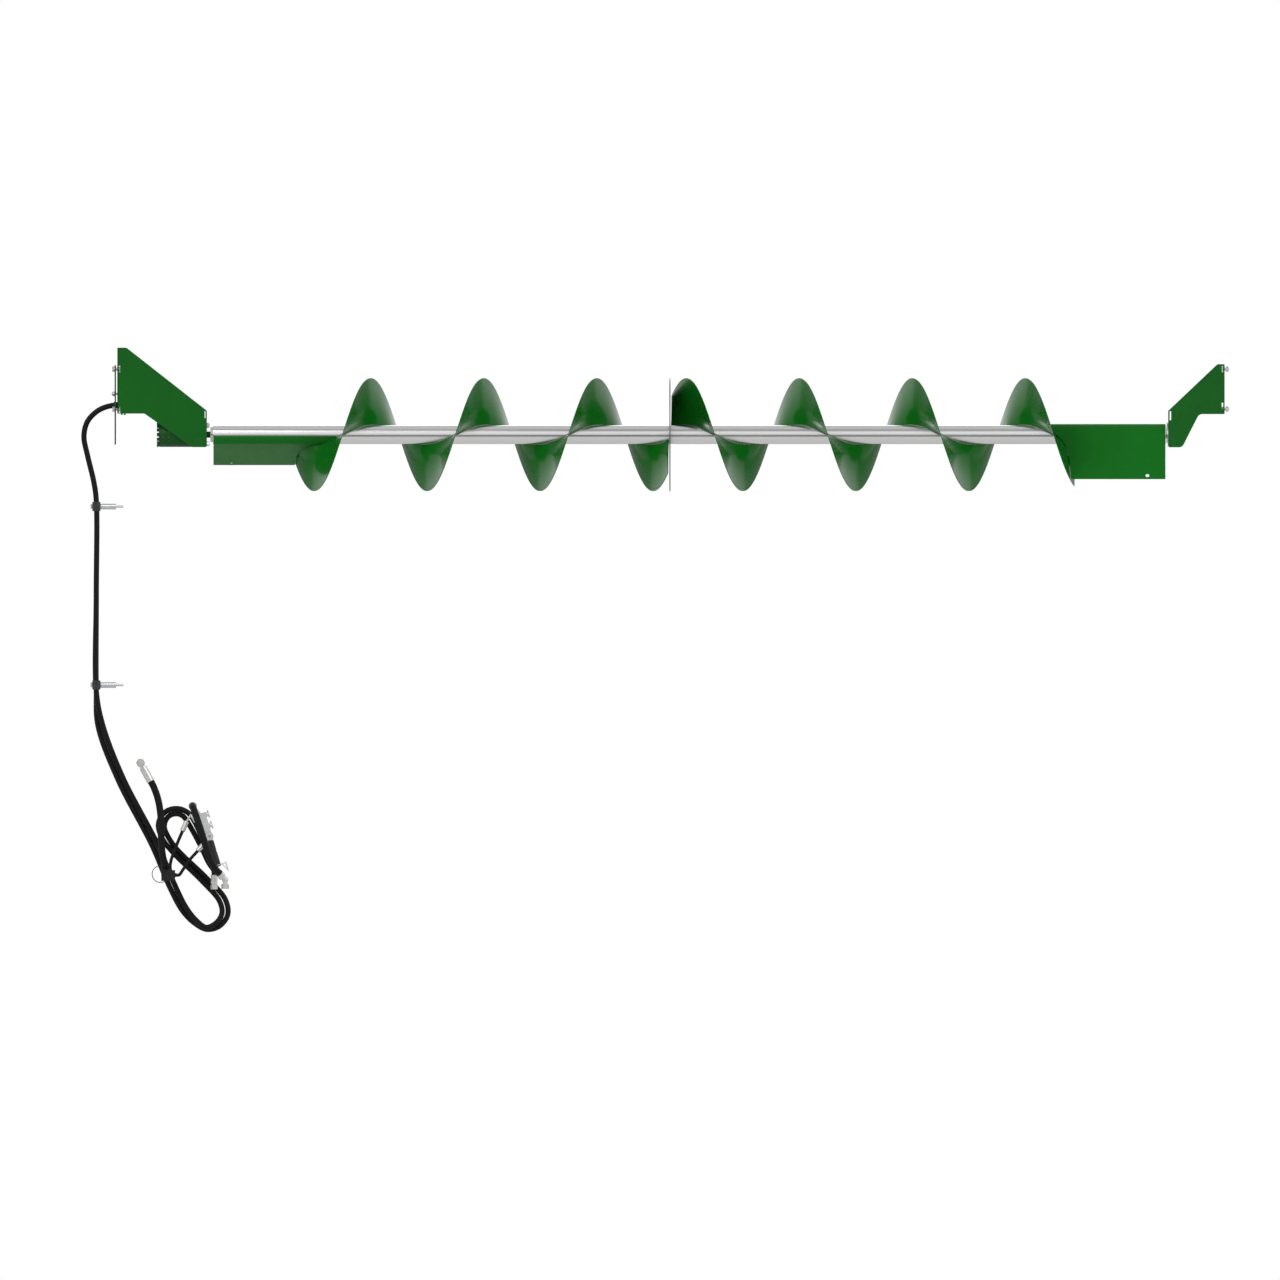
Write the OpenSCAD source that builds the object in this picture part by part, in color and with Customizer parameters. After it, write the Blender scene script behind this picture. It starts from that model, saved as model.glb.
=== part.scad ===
// Top cross auger kit: a hydraulically driven auger between two end brackets, with its hoses.
// Millimetres. +Z is up, +X runs along the auger from the drive end to the idler end.
// The origin is the centre of the drive end's bolt pattern, on the bracket's mounting face.

/* [Auger] */
// Distance between the two mounting faces
span = 4480.5; // [4300:0.5:5000]
// Outside diameter of the flighting
flight_d = 457.2; // [380:0.2:540]
// Axial advance of the flighting in one turn
pitch = 457.2; // [380:0.2:540]
// Thickness of the flighting sheet
flight_t = 4.8; // [4:0.1:6]
// Outside diameter of the auger tube
tube_d = 76.2; // [72:0.2:92]
// Wall of the auger tube
tube_wall = 4.8; // [3:0.1:5]
// Bare tube before the flighting at the drive end
drive_bare = 319; // [260:1:400]
// Bare tube before the flighting at the idler end
idler_bare = 371; // [300:1:450]
// Distance of the centre disc from the middle of the tube, towards the drive end
disc_shift = 79; // [0:1:200]
// Thickness of the end paddles
paddle_t = 5; // [4:0.5:6]

/* [Brackets] */
// Width of the drive bracket, mounting face to motor face
drive_w = 362.5; // [350:0.5:400]
// Width of the idler bracket
idler_w = 228.5; // [200:0.5:280]
// Drop of the auger axis below the bolt pattern
axis_drop = 184; // [180:1:215]
// Depth of both brackets
depth = 116; // [114:1:150]
// Thickness of the bracket sheet
sheet = 6; // [5:0.5:7]
// Room for the platform's end sheet between the washers and the bracket
sheet_room = 5; // [4.5:0.5:8]
// Bolt spacing along the depth
bolt_y = 72; // [70:1:78]
// Bolt spacing along the depth at the idler end
idler_bolt_y = 76; // [74:1:80]
// Bolt spacing along the height
bolt_z = 162; // [150:1:170]
// Diameter of the mounting bolts
bolt_d = 12; // [10:1:12]

/* [Motor and bearing] */
// Motor body diameter
motor_d = 100; // [99:0.5:102]
// Output shaft diameter
shaft_d = 25.4; // [22:0.2:28]
// Width of the motor's rotor set
rotor_w = 20; // [14:1:24]
// Idler shaft diameter
idler_d = 30; // [28:0.5:30]

/* [Hoses] */
// Main hose outside diameter
hose_d = 22; // [18:0.5:22]
// Supply and drain hose outside diameter
wide_d = 28; // [24:0.5:28]
// Pilot hose outside diameter
thin_d = 13; // [10:0.5:13]
// Height of the upper hose clamp below the bolt pattern
clamp_top = 475; // [475:1:520]
// Spacing of the two hose clamps
clamp_pitch = 722; // [600:1:722]

/* [Hidden] */
$fn = 96;
fit = 0.05;
clear = 0.1;
axis_z = -axis_drop;
half_depth = depth / 2;
bend_out = 9;
bolt_r = bolt_d / 2;
thread_r = bolt_r - 0.3;
bolt_nut_r = thread_r + clear;
hole_r = bolt_r + 0.75;
head_h = 7.5;
washer_t = 2;
washer_r = 12;
nut_h = 10;
hex_r = 10.4;

// Rotor.
hub_gap = 14.5;
hub_nose = 10;
hub_nose_r = 30;
tube_x0 = drive_w + hub_gap + hub_nose;
tube_x1 = span - idler_w - 9;
tube_r = tube_d / 2;
bore_r = tube_r - tube_wall;
flight_r = flight_d / 2;
advance = pitch / 360;
disc_t = 5;
disc_x = (tube_x0 + tube_x1) / 2 - disc_shift;
station = 6;
root_r = (tube_r + 0.01) / cos(station / 2);
end_turn = 152.7;
drive_wrap_at = 98.7;
idler_wrap_at = 3;
wrap_turn = 59.4;
paddle_in = tube_r + clear;
paddle_mid = paddle_in + paddle_t / 2;
paddle_out = paddle_in + paddle_t;
blade_len = sqrt(flight_r * flight_r - paddle_out * paddle_out) - 1;
paddle_start = 2;
ear_at = 0.56 * blade_len;
ear_turn = wrap_turn + atan(ear_at / paddle_mid);
ear_r = norm([ear_at, paddle_mid]);
ear_side = -22;
ear_w = 36;
ear_gap = 1.5;
ear_t = 5;
ear_bolt_r = 5;

// Motor, from the bracket's motor face back towards the mounting flange.
motor_r = motor_d / 2;
shaft_r = shaft_d / 2;
motor_face = drive_w - sheet;
body_len = 144.5;
body_x = motor_face - body_len;
spacer_t = 6;
spacer_x = body_x - spacer_t;
ring_x = spacer_x - rotor_w;
cover_t = 18;
cover_x = ring_x - cover_t;
cover_bolt_r = 4;
cover_bolt_at = 43.5;
pilot_r = 41.25;
flange_half = 48.5;
flange_t = 12.5;
mount_at = 53.2;
roller_n = 7;
roller_r = 7;
roller_at = 30;
orbit = 2.5;
lobe_gap = 0.15;
socket_r = 9.3;
link_ball = 9;
shaft_big = 17;
shaft_big_x0 = body_x + 10;
shaft_big_x1 = body_x + 80;
link_x0 = ring_x + rotor_w / 2;
link_x1 = body_x + 38;
shaft_x1 = tube_x0 + 35;
plug_len = 50;
plug_r = bore_r - fit;
key_w = 6.35;
key_len = 28;
port_x = body_x + 58;
port_y = 20;
port_z = axis_z + 84;
pad_top = axis_z + 52;
ferrule_x0 = port_x - 80;
ferrule_len = 45;

// Idler end.
idler_x0 = span - idler_w;
bearing_x = idler_x0 + sheet / 2;
idler_r = idler_d / 2;
ring_out_r = 31;
race_out = 26.2;
race_in = 19.8;
ball_n = 9;
ball_r = 4.75;
ball_at = 23;
ring_half = 8;
flangette_r = 50;
flangette_t = 2.5;
flangette_at = 41;
idler_plug = 30;

// Hoses and bundle.
hose_r = hose_d / 2;
wide_r = wide_d / 2;
thin_r = thin_d / 2;
grip = 0.15;
pass_y = 12;
pass_z = -66;
pass_r = 14;
run_x = -85;
run_y = 18;
clamp_half = 18.5;
spacer_r = 12;
stud_r = 5;
stud_out = 25;
stud_shank_r = stud_r - 0.3;
nut_x = 392;
nut_front_y = -63;
nut_back_y = -34;
nut_top = -2006;
nut_thread = 9;
hose_end_z = -1966;
tie_half = 11.1;
tie_y = 4;
valve_at = [358, -80, -1770];
valve_tilt = -17;
valve_size = [30, 50, 115];
cock_r = 5;
cock_heights = [46, 0];
manifold_at = [206, -85, -1968];
manifold_size = [56, 50, 44];

front_hose = [
  [ferrule_x0, -port_y, port_z], [ferrule_x0 - 20, -port_y, port_z], [95, -16, -82],
  [20, -pass_y, pass_z], [-20, -pass_y, pass_z], [-75, -12, -85], [-120, -12, -130],
  [-135, -12, -190], [-120, -12, -270], [-95, -15, -375], [run_x, -run_y, -450],
  [run_x, -run_y, -1220], [-60, -10, -1355], [21, -4, -1568], [161, -4, -1838],
  [236, -4, -2013], [280, -8, -2100], [320, -11, -2150], [360, -12, -2178],
  [401, -9, -2159], [424, -2, -2120], [413, 2, -2070], [345, 11, -1992],
  [224, 8, -1873], [182, 2, -1818], [166, -2, -1765], [178, -4, -1728],
  [205, -5, -1704], [246, -5, -1697], [284, -6, -1712], [308, -9, -1742],
  [354, -34, -1842], [378, -52, -1915], [nut_x, nut_front_y, hose_end_z + 16],
  [nut_x, nut_front_y, hose_end_z]
];
back_hose = [
  [ferrule_x0, port_y, port_z], [ferrule_x0 - 20, port_y, port_z], [95, 16, -82],
  [20, pass_y, pass_z], [-20, pass_y, pass_z], [-75, 12, -85], [-120, 12, -130],
  [-135, 12, -190], [-120, 12, -270], [-95, 15, -375], [run_x, run_y, -450],
  [run_x, run_y, -1220], [-78, 10, -1362], [2, 4, -1578], [142, 4, -1849],
  [216, 4, -2023], [265, 8, -2112], [312, 11, -2160], [362, 12, -2186],
  [413, 9, -2173], [447, 2, -2127], [437, 8, -2064], [360, 19, -1977],
  [239, 16, -1859], [203, 10, -1806], [190, 6, -1770], [197, 4, -1742],
  [214, 5, -1724], [242, 5, -1718], [266, 4, -1727], [284, 1, -1751],
  [338, -13, -1849], [370, -26, -1917], [nut_x, nut_back_y, hose_end_z + 16], [nut_x, nut_back_y, hose_end_z]
];
supply_path = [
  [305, -112, -1687], [305, -132, -1687], [312, -165, -1708], [330, -188, -1760],
  [352, -195, -1830], [374, -186, -1900], [394, -166, -1938], [412, -148, -1958]
];
drain_path = [
  [135, -75, -1586], [145, -75, -1604], [165, -75, -1660], [177, -75, -1740],
  [178, -75, -1830], [184, -75, -1890], [192, -75, -1925], [192, -75, -1940]
];
pilot_high = [[264, -80, -1788], [244, -85, -1835], [218, -95, -1905], [214, -98, -1928], [214, -98, -1940]];
pilot_low = [[326, -80, -1868], [290, -84, -1908], [262, -88, -1950], [250, -90, -1966], [240, -90, -1966]];

function unit(v) = v / norm(v);
function heading(p, i) =
  i == 0 ? unit(p[1] - p[0]) :
  i == len(p) - 1 ? unit(p[i] - p[i - 1]) :
  unit(unit(p[i] - p[i - 1]) + unit(p[i + 1] - p[i]));
function hoop(c, t, r, ref, n) =
  let(u = unit(cross(ref, t)), v = cross(t, u))
  [for (k = [0:n - 1]) c + r * (cos(360 * k / n) * u + sin(360 * k / n) * v)];
function skin_faces(rows, m) = concat(
  [[for (j = [0:m - 1]) j]],
  [for (i = [0:rows - 2], j = [0:m - 1]) [i * m + (j + 1) % m, i * m + j, (i + 1) * m + j]],
  [for (i = [0:rows - 2], j = [0:m - 1]) [i * m + (j + 1) % m, (i + 1) * m + j, (i + 1) * m + (j + 1) % m]],
  [[for (j = [m - 1:-1:0]) (rows - 1) * m + j]]
);
function corner(a, b, c, r, n = 6) =
  r == 0 ? [b] :
  let(
    u = unit(a - b), v = unit(c - b), half = acos(u * v) / 2,
    mid = b + unit(u + v) * r / sin(half),
    p = b + u * r / tan(half) - mid, q = b + v * r / tan(half) - mid,
    a0 = atan2(p.y, p.x), turn = atan2(q.y, q.x) - a0,
    sweep = turn > 180 ? turn - 360 : turn < -180 ? turn + 360 : turn
  )
  [for (i = [0:n]) mid + r * [cos(a0 + sweep * i / n), sin(a0 + sweep * i / n)]];
function rounded(pts, radii) =
  let(n = len(pts))
  [for (i = [0:n - 1]) each corner(pts[(i + n - 1) % n], pts[i], pts[(i + 1) % n], radii[i])];
function half_sheet(r) = flight_t / 2 * sqrt(1 + pow(pitch / (2 * PI * r), 2));
function surface_x(bare, turn) = bare + advance * (end_turn - turn);
function blade_edge(bare, s) =
  let(r = norm([s, paddle_mid]))
  surface_x(bare, wrap_turn + atan(s / paddle_mid)) - half_sheet(r) - advance * asin(paddle_t / 2 / r) - 0.8;
function wrap_edge(bare, s) = surface_x(bare, wrap_turn - asin(min(1, -s / paddle_mid))) - 14;
function lobe(turn) =
  let(
    c = roller_at * [cos(turn), sin(turn)] - orbit * [cos(7 * turn), sin(7 * turn)],
    d = roller_at * [-sin(turn), cos(turn)] - 7 * orbit * [-sin(7 * turn), cos(7 * turn)]
  )
  c - (roller_r + lobe_gap) * unit([d.y, -d.x]);

module along_x(x0, x1, r, at = [0, 0]) {
  translate([x0, at.x, at.y]) rotate([0, 90, 0]) cylinder(h = x1 - x0, r = r);
}
module hex_x(x0, x1, r, at = [0, 0]) {
  translate([x0, at.x, at.y]) rotate([0, 90, 0]) cylinder(h = x1 - x0, r = r, $fn = 6);
}
module rod(p, q, r) {
  d = q - p;
  translate(p) rotate([0, acos(d.z / norm(d)), atan2(d.y, d.x)]) cylinder(h = norm(d), r = r);
}
module turned(points) {
  rotate([0, 90, 0]) rotate_extrude() polygon(points);
}
module on_axis(x = 0) {
  translate([x, 0, axis_z]) children();
}
module prism_xz(points) {
  rotate([90, 0, 0]) linear_extrude(2 * depth, center = true) polygon(points);
}
module hose(path, r, ref, sides = 10) {
  rings = [for (i = [0:len(path) - 1]) each hoop(path[i], heading(path, i), r, ref, sides)];
  polyhedron(rings, skin_faces(len(path), sides), convexity = 6);
}
module round_square(x0, x1, y0, y1, r) {
  translate([x0 + r, y0]) square([x1 - x0 - 2 * r, y1 - y0]);
  translate([x0, y0 + r]) square([x1 - x0, y1 - y0 - 2 * r]);
  for (x = [x0 + r, x1 - r], y = [y0 + r, y1 - r]) {
    translate([x, y]) circle(r);
  }
}
module channel(x0, x1) {
  translate([0, 0, -2 * axis_drop]) linear_extrude(4 * axis_drop) difference() {
    round_square(x0, x1, -half_depth, half_depth + 20, bend_out);
    round_square(x0 + sheet, x1 - sheet, -half_depth + sheet, half_depth + 30, bend_out - sheet);
    translate([x0 - 1, half_depth]) square([x1 - x0 + 2, 50]);
  }
}
module flange_corners(x0, top, bottom, r = 14) {
  for (end = [[top, 1], [bottom, -1]]) {
    translate([x0 - 1, half_depth - r, end[0] - end[1] * r])
      rotate([90, 0, 90]) scale([1, end[1], 1]) linear_extrude(sheet + 2) difference() {
        square(r + 1);
        circle(r);
      }
  }
}
module bolt_places(spacing = bolt_y) {
  for (y = [-spacing / 2, spacing / 2], z = [-bolt_z / 2, bolt_z / 2]) {
    translate([0, y, z]) children();
  }
}
module pass_slot(x0, x1, r) {
  for (y = [-pass_y, pass_y]) {
    along_x(x0, x1, r, [y, pass_z]);
  }
  translate([x0, -pass_y, pass_z - r]) cube([x1 - x0, 2 * pass_y, 2 * r]);
}
module motor_places() {
  for (a = [45:90:315]) {
    on_axis() rotate([a, 0, 0]) translate([0, mount_at, 0]) children();
  }
}
module cover_places() {
  for (i = [0:roller_n - 1]) {
    on_axis() rotate([(i + 0.5) * 360 / roller_n, 0, 0]) translate([0, cover_bolt_at, 0]) children();
  }
}
module roller_places() {
  for (i = [0:roller_n - 1]) {
    on_axis() rotate([i * 360 / roller_n, 0, 0]) translate([0, roller_at, 0]) children();
  }
}
module flangette_places() {
  for (a = [90, 210, 330]) {
    on_axis() rotate([a, 0, 0]) translate([0, flangette_at, 0]) children();
  }
}
// Both ends of the rotor are drawn in one frame: distance in from the tube's end, turn about the tube.
module drive_side() {
  on_axis(tube_x0) rotate([drive_wrap_at, 0, 0]) children();
}
module idler_side() {
  on_axis(tube_x1) mirror([1, 0, 0]) rotate([idler_wrap_at, 0, 0]) children();
}
module ear_frame(bare) {
  rotate([ear_turn, 0, 0]) translate([surface_x(bare, ear_turn), 0, ear_r])
    rotate([0, 0, -atan(advance * 180 / PI / ear_r)]) children();
}
module flighting(bare, reach) {
  limit = reach - half_sheet(root_r) - 0.3;
  total = (limit - bare) / advance;
  steps = ceil(total / station);
  radii = [root_r, root_r + 0.2 * (flight_r - root_r), root_r + 0.55 * (flight_r - root_r), flight_r];
  outline = [for (j = [0:3]) [radii[j], -1], for (j = [3:-1:0]) [radii[j], 1]];
  rings = [
    for (i = [0:steps], o = outline)
      let(turn = end_turn - i * total / steps, r = o[0])
      [surface_x(bare, turn) + o[1] * half_sheet(r), -r * sin(turn), r * cos(turn)]
  ];
  difference() {
    polyhedron(rings, skin_faces(steps + 1, 8), convexity = 12);
    ear_frame(bare) along_x(-20, 20, ear_bolt_r + 0.5, [ear_side, 0]);
  }
}
module paddle(bare) {
  shoulder = -paddle_mid * sin(wrap_turn);
  bends = 10;
  difference() {
    intersection() {
      rotate([wrap_turn, 0, 0]) rotate([90, 0, 90]) linear_extrude(bare + 2 * pitch) polygon(concat(
        [for (i = [0:bends]) paddle_in / cos(wrap_turn / bends / 2) * [sin(wrap_turn * (1 - i / bends)),
          cos(wrap_turn * (1 - i / bends))]],
        [[-blade_len, paddle_in], [-blade_len, paddle_out]],
        [for (i = [bends:-1:0])
          paddle_out * [sin(wrap_turn * (1 - i / bends)), cos(wrap_turn * (1 - i / bends))]]
      ));
      rotate([wrap_turn, 0, 0]) translate([0, 0, -20]) linear_extrude(100) polygon(concat(
        [[paddle_start, 60], [paddle_start, -blade_len - 5], [blade_edge(bare, blade_len), -blade_len - 5]],
        [for (i = [10:-1:0]) [blade_edge(bare, blade_len * i / 10), -blade_len * i / 10]],
        [for (i = [1:5]) [wrap_edge(bare, shoulder * i / 5), -shoulder * i / 5]],
        [[wrap_edge(bare, shoulder), 60]]
      ));
    }
    rotate([wrap_turn, 0, 0]) translate([75, 15 - blade_len, 0]) cylinder(h = 2 * paddle_out, r = 8);
  }
  ear_frame(bare) difference() {
    translate([-flight_t / 2 - ear_gap - ear_t, -ear_w, -15]) cube([ear_t, ear_w, 30]);
    along_x(-20, 20, ear_bolt_r + 0.5, [ear_side, 0]);
  }
}
module ear_bolt(bare) {
  ear_frame(bare) {
    along_x(-flight_t / 2 - ear_gap - ear_t - 8, flight_t / 2 + 1.2, ear_bolt_r, [ear_side, 0]);
    hex_x(flight_t / 2 + 1.1, flight_t / 2 + 7, 9.2, [ear_side, 0]);
  }
}
module ear_nut(bare) {
  back = -flight_t / 2 - ear_gap - ear_t - clear;
  ear_frame(bare) difference() {
    hex_x(back - 6.5, back, 9.2, [ear_side, 0]);
    along_x(back - 10, back + 1, ear_bolt_r + clear, [ear_side, 0]);
  }
}
module at_valve() {
  translate(valve_at) rotate([0, valve_tilt, 0]) children();
}
function valve_point(p) = valve_at + [
  p.x * cos(valve_tilt) + p.z * sin(valve_tilt), p.y, -p.x * sin(valve_tilt) + p.z * cos(valve_tilt)
];
supply_end = supply_path[len(supply_path) - 1];
supply_way = heading(supply_path, len(supply_path) - 1);
elbow_at = supply_end + 44 * supply_way;

// --- Drive end ---
module drive_bracket() {
  top = 168;
  low = -99;
  motor_top = axis_z + 97;
  motor_low = axis_z - 50.7;
  color("darkgreen") difference() {
    intersection() {
      channel(0, drive_w);
      prism_xz(rounded(
        [[0, top], [37, top], [drive_w, motor_top], [drive_w, motor_low], [drive_w - 60, motor_low],
          [110, low], [34, low], [34, low - 6], [26, low - 6], [26, low], [22, low], [22, low - 6],
          [15, low - 6], [15, low], [0, low]],
        [2.8, 14, 3, 8, 14, 14, 0, 2, 2, 0, 0, 2, 2, 0, 2.8]
      ));
    }
    bolt_places() along_x(-1, sheet + 1, hole_r);
    along_x(-1, sheet + 1, 4.5, [0, -19]);
    pass_slot(-1, sheet + 1, pass_r);
    on_axis() along_x(motor_face - 1, drive_w + 1, pilot_r + clear);
    motor_places() along_x(motor_face - 1, drive_w + 1, hole_r);
    for (z = [69, -95]) {
      translate([sheet, -half_depth - 1, z]) cube([sheet, sheet + 5, 25]);
    }
    translate([motor_face - sheet / 2, -half_depth - 1, motor_top - 30]) cube([sheet / 2, sheet + 5, 28]);
    flange_corners(0, top, low);
    flange_corners(motor_face, motor_top, motor_low);
  }
}
module drive_backing_plate() {
  color("darkgreen") difference() {
    translate([-sheet_room - sheet, 0, 0]) rotate([90, 0, 90]) linear_extrude(sheet)
      round_square(-60, 60, -224.5, 97, 8);
    bolt_places() along_x(-sheet_room - sheet - 1, -sheet_room + 1, hole_r);
    along_x(-sheet_room - sheet - 1, -sheet_room + 1, 4.5, [0, -19]);
    pass_slot(-sheet_room - sheet - 1, -sheet_room + 1, pass_r);
  }
}
module drive_end_bolts() {
  plate = -sheet_room - sheet;
  color("silver") bolt_places() {
    hex_x(plate - washer_t - head_h, plate - washer_t, hex_r);
    along_x(plate - washer_t, plate - fit, washer_r);
    along_x(plate - 1, -sheet_room, thread_r);
    along_x(-sheet_room, 0, bolt_r);
    along_x(0, sheet + nut_h + 4, thread_r);
  }
}
module drive_end_nuts() {
  color("silver") bolt_places() difference() {
    union() {
      along_x(sheet + fit, sheet + 2, washer_r);
      hex_x(sheet + 1.5, sheet + nut_h, hex_r);
    }
    along_x(sheet - 1, sheet + nut_h + 1, bolt_nut_r);
  }
}
module plate_bolt() {
  plate = -sheet_room - sheet;
  color("silver") {
    translate([plate - fit, 0, -19]) turned([[0, -12], [4, -11.3], [7.5, -9], [9.3, -5.5], [9.3, 0], [0, 0]]);
    along_x(plate - 1, sheet + 9, 4, [0, -19]);
    difference() {
      hex_x(sheet + fit, sheet + 6.5, 7.5, [0, -19]);
      along_x(sheet - 1, sheet + 8, 3.9, [0, -19]);
    }
  }
}
module hose_grommet() {
  plate = -sheet_room - sheet;
  color("black") difference() {
    union() {
      pass_slot(plate - 3, plate - clear, pass_r + 1.5);
      pass_slot(plate - 1, sheet + 1, pass_r - 0.2);
      pass_slot(sheet + clear, sheet + 3, pass_r + 1.5);
    }
    for (y = [-pass_y, pass_y]) {
      along_x(plate - 4, sheet + 4, hose_r + grip, [y, pass_z]);
    }
  }
}

// --- Orbit motor ---
module motor_end_cover() {
  color("darkgreen") difference() {
    on_axis(cover_x) turned([[0, 3], [14, 3], [14, 0], [motor_r - 3, 0], [motor_r, 3],
      [motor_r, cover_t - fit],
      [0, cover_t - fit]]);
    cover_places() along_x(cover_x - 1, ring_x + 1, cover_bolt_r + clear);
  }
}
module motor_cover_bolts() {
  color("silver") cover_places() {
    hex_x(cover_x - 8, cover_x - fit, 7.4);
    along_x(cover_x - 1, body_x + 20, cover_bolt_r);
  }
}
module geroler_ring() {
  color("gray") difference() {
    on_axis() along_x(ring_x, spacer_x - fit, motor_r);
    on_axis() along_x(ring_x - 1, spacer_x + 1, 28.6);
    roller_places() along_x(ring_x - 1, spacer_x + 1, roller_r + fit);
    cover_places() along_x(ring_x - 1, spacer_x + 1, cover_bolt_r + clear);
  }
}
module geroler_rollers() {
  color("silver") roller_places() along_x(ring_x + clear, spacer_x - 2 * clear, roller_r);
}
module geroler_star() {
  color("lightgray") on_axis(ring_x + clear) translate([0, orbit, 0]) rotate([90, 0, 90])
    linear_extrude(rotor_w - 3 * clear) difference() {
      polygon([for (i = [0:119]) lobe(3 * i)]);
      circle(socket_r);
    }
}
module motor_spacer_plate() {
  color("gray") difference() {
    on_axis() along_x(spacer_x, body_x - fit, motor_r);
    on_axis() along_x(spacer_x - 1, body_x + 1, 18);
    cover_places() along_x(spacer_x - 1, body_x + 1, cover_bolt_r + clear);
  }
}
module motor_housing() {
  neck_x = body_x + 103;
  flange_x = motor_face - flange_t;
  color("darkgreen") difference() {
    union() {
      on_axis() turned([[0, body_x], [motor_r, body_x], [motor_r, neck_x], [pilot_r - fit, neck_x + 8],
        [pilot_r - fit, drive_w], [0, drive_w]]);
      on_axis() intersection() {
        translate([flange_x, -flange_half, -flange_half])
          cube([flange_t - fit, 2 * flange_half, 2 * flange_half]);
        along_x(flange_x - 1, motor_face + 1, 62);
      }
      translate([port_x - 32, -36, axis_z + 20]) cube([64, 72, pad_top - axis_z - 20]);
    }
    on_axis() along_x(body_x - 1, shaft_big_x1 + 2, shaft_big + fit);
    on_axis() along_x(body_x, drive_w + 1, shaft_r + clear);
    on_axis() along_x(drive_w - 12, drive_w + 1, 20);
    cover_places() along_x(body_x - 1, body_x + 22, cover_bolt_r + clear);
    motor_places() along_x(flange_x - 1, motor_face + 1, bolt_r + clear);
    for (y = [-port_y, port_y]) {
      translate([port_x, y, pad_top - 15]) cylinder(h = 16, r = 8);
    }
  }
}
module drive_link() {
  start = [link_x0, orbit, axis_z];
  way = [link_x1, 0, axis_z] - start;
  long = norm(way);
  crown = link_ball - 1.2;
  color("dimgray") translate(start) rotate([0, acos(way.z / long), atan2(way.y, way.x)]) rotate_extrude()
    polygon([[0, -8], [crown, -8], [link_ball, -3], [link_ball, 3], [crown, 8], [6, 10], [6, long - 10],
      [crown, long - 8], [link_ball, long - 3], [link_ball, long + 3], [crown, long + 8], [0, long + 8]]);
}
module motor_output_shaft() {
  color("silver") difference() {
    on_axis() turned([[0, shaft_big_x0], [shaft_big, shaft_big_x0], [shaft_big, shaft_big_x1],
      [shaft_r, shaft_big_x1], [shaft_r, shaft_x1], [0, shaft_x1]]);
    on_axis() along_x(shaft_big_x0 - 1, link_x1 + 14, socket_r);
    translate([shaft_x1 - key_len, -key_w / 2 - fit, axis_z + shaft_r - key_w / 2])
      cube([key_len + 1, key_w + 2 * fit, key_w]);
  }
}
module motor_shaft_key() {
  color("gray") translate([shaft_x1 - key_len + clear, -key_w / 2, axis_z + shaft_r - key_w / 2 + fit])
    cube([key_len - 2 * clear, key_w, key_w - 2 * fit]);
}
module motor_shaft_seal() {
  color("black") difference() {
    on_axis() along_x(drive_w - 11, drive_w - 3, 20 - fit);
    on_axis() along_x(drive_w - 13, drive_w, shaft_r + clear);
  }
}
module motor_mount_bolts() {
  flange_x = motor_face - flange_t;
  color("silver") motor_places() {
    hex_x(flange_x - 7.5, flange_x - fit, 9.8);
    along_x(flange_x - 1, drive_w + 11.5, bolt_r);
  }
}
module motor_mount_nuts() {
  color("silver") motor_places() difference() {
    hex_x(drive_w + fit, drive_w + 8.5, hex_r);
    along_x(drive_w - 1, drive_w + 10, bolt_r + clear);
  }
}
module motor_port_fittings() {
  ferrule_x1 = ferrule_x0 + ferrule_len;
  color("silver") for (y = [-port_y, port_y]) {
    translate([port_x, y, pad_top - 14]) cylinder(h = 15, r = 7.9);
    translate([port_x, y, pad_top + fit]) cylinder(h = 12, r = 13.5, $fn = 6);
    translate([port_x, y, pad_top + 11]) cylinder(h = port_z - pad_top - 11, r = 9.5);
    translate([port_x, y, port_z]) sphere(9.5);
    along_x(ferrule_x1 - 1, port_x, 9.5, [y, port_z]);
    hex_x(ferrule_x1 + 2, ferrule_x1 + 14, 12.5, [y, port_z]);
    along_x(ferrule_x0, ferrule_x1, 13.5, [y, port_z]);
  }
}

// --- Auger ---
module auger_tube() {
  color("silver") difference() {
    on_axis() along_x(tube_x0, tube_x1, tube_r);
    on_axis() along_x(tube_x0 - 1, tube_x1 + 1, bore_r);
  }
}
module left_flighting() {
  color("darkgreen") drive_side() flighting(drive_bare, disc_x - disc_t / 2 - tube_x0);
}
module right_flighting() {
  color("darkgreen") idler_side() flighting(idler_bare, tube_x1 - disc_x - disc_t / 2);
}
module centre_disc() {
  color("darkgreen") on_axis() difference() {
    along_x(disc_x - disc_t / 2, disc_x + disc_t / 2, flight_r);
    along_x(disc_x - disc_t, disc_x + disc_t, tube_r + fit);
  }
}
module left_paddle() {
  color("darkgreen") drive_side() paddle(drive_bare);
}
module right_paddle() {
  color("darkgreen") idler_side() paddle(idler_bare);
}
module paddle_bolts() {
  color("silver") {
    drive_side() ear_bolt(drive_bare);
    idler_side() ear_bolt(idler_bare);
  }
}
module paddle_nuts() {
  color("silver") {
    drive_side() ear_nut(drive_bare);
    idler_side() ear_nut(idler_bare);
  }
}
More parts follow.
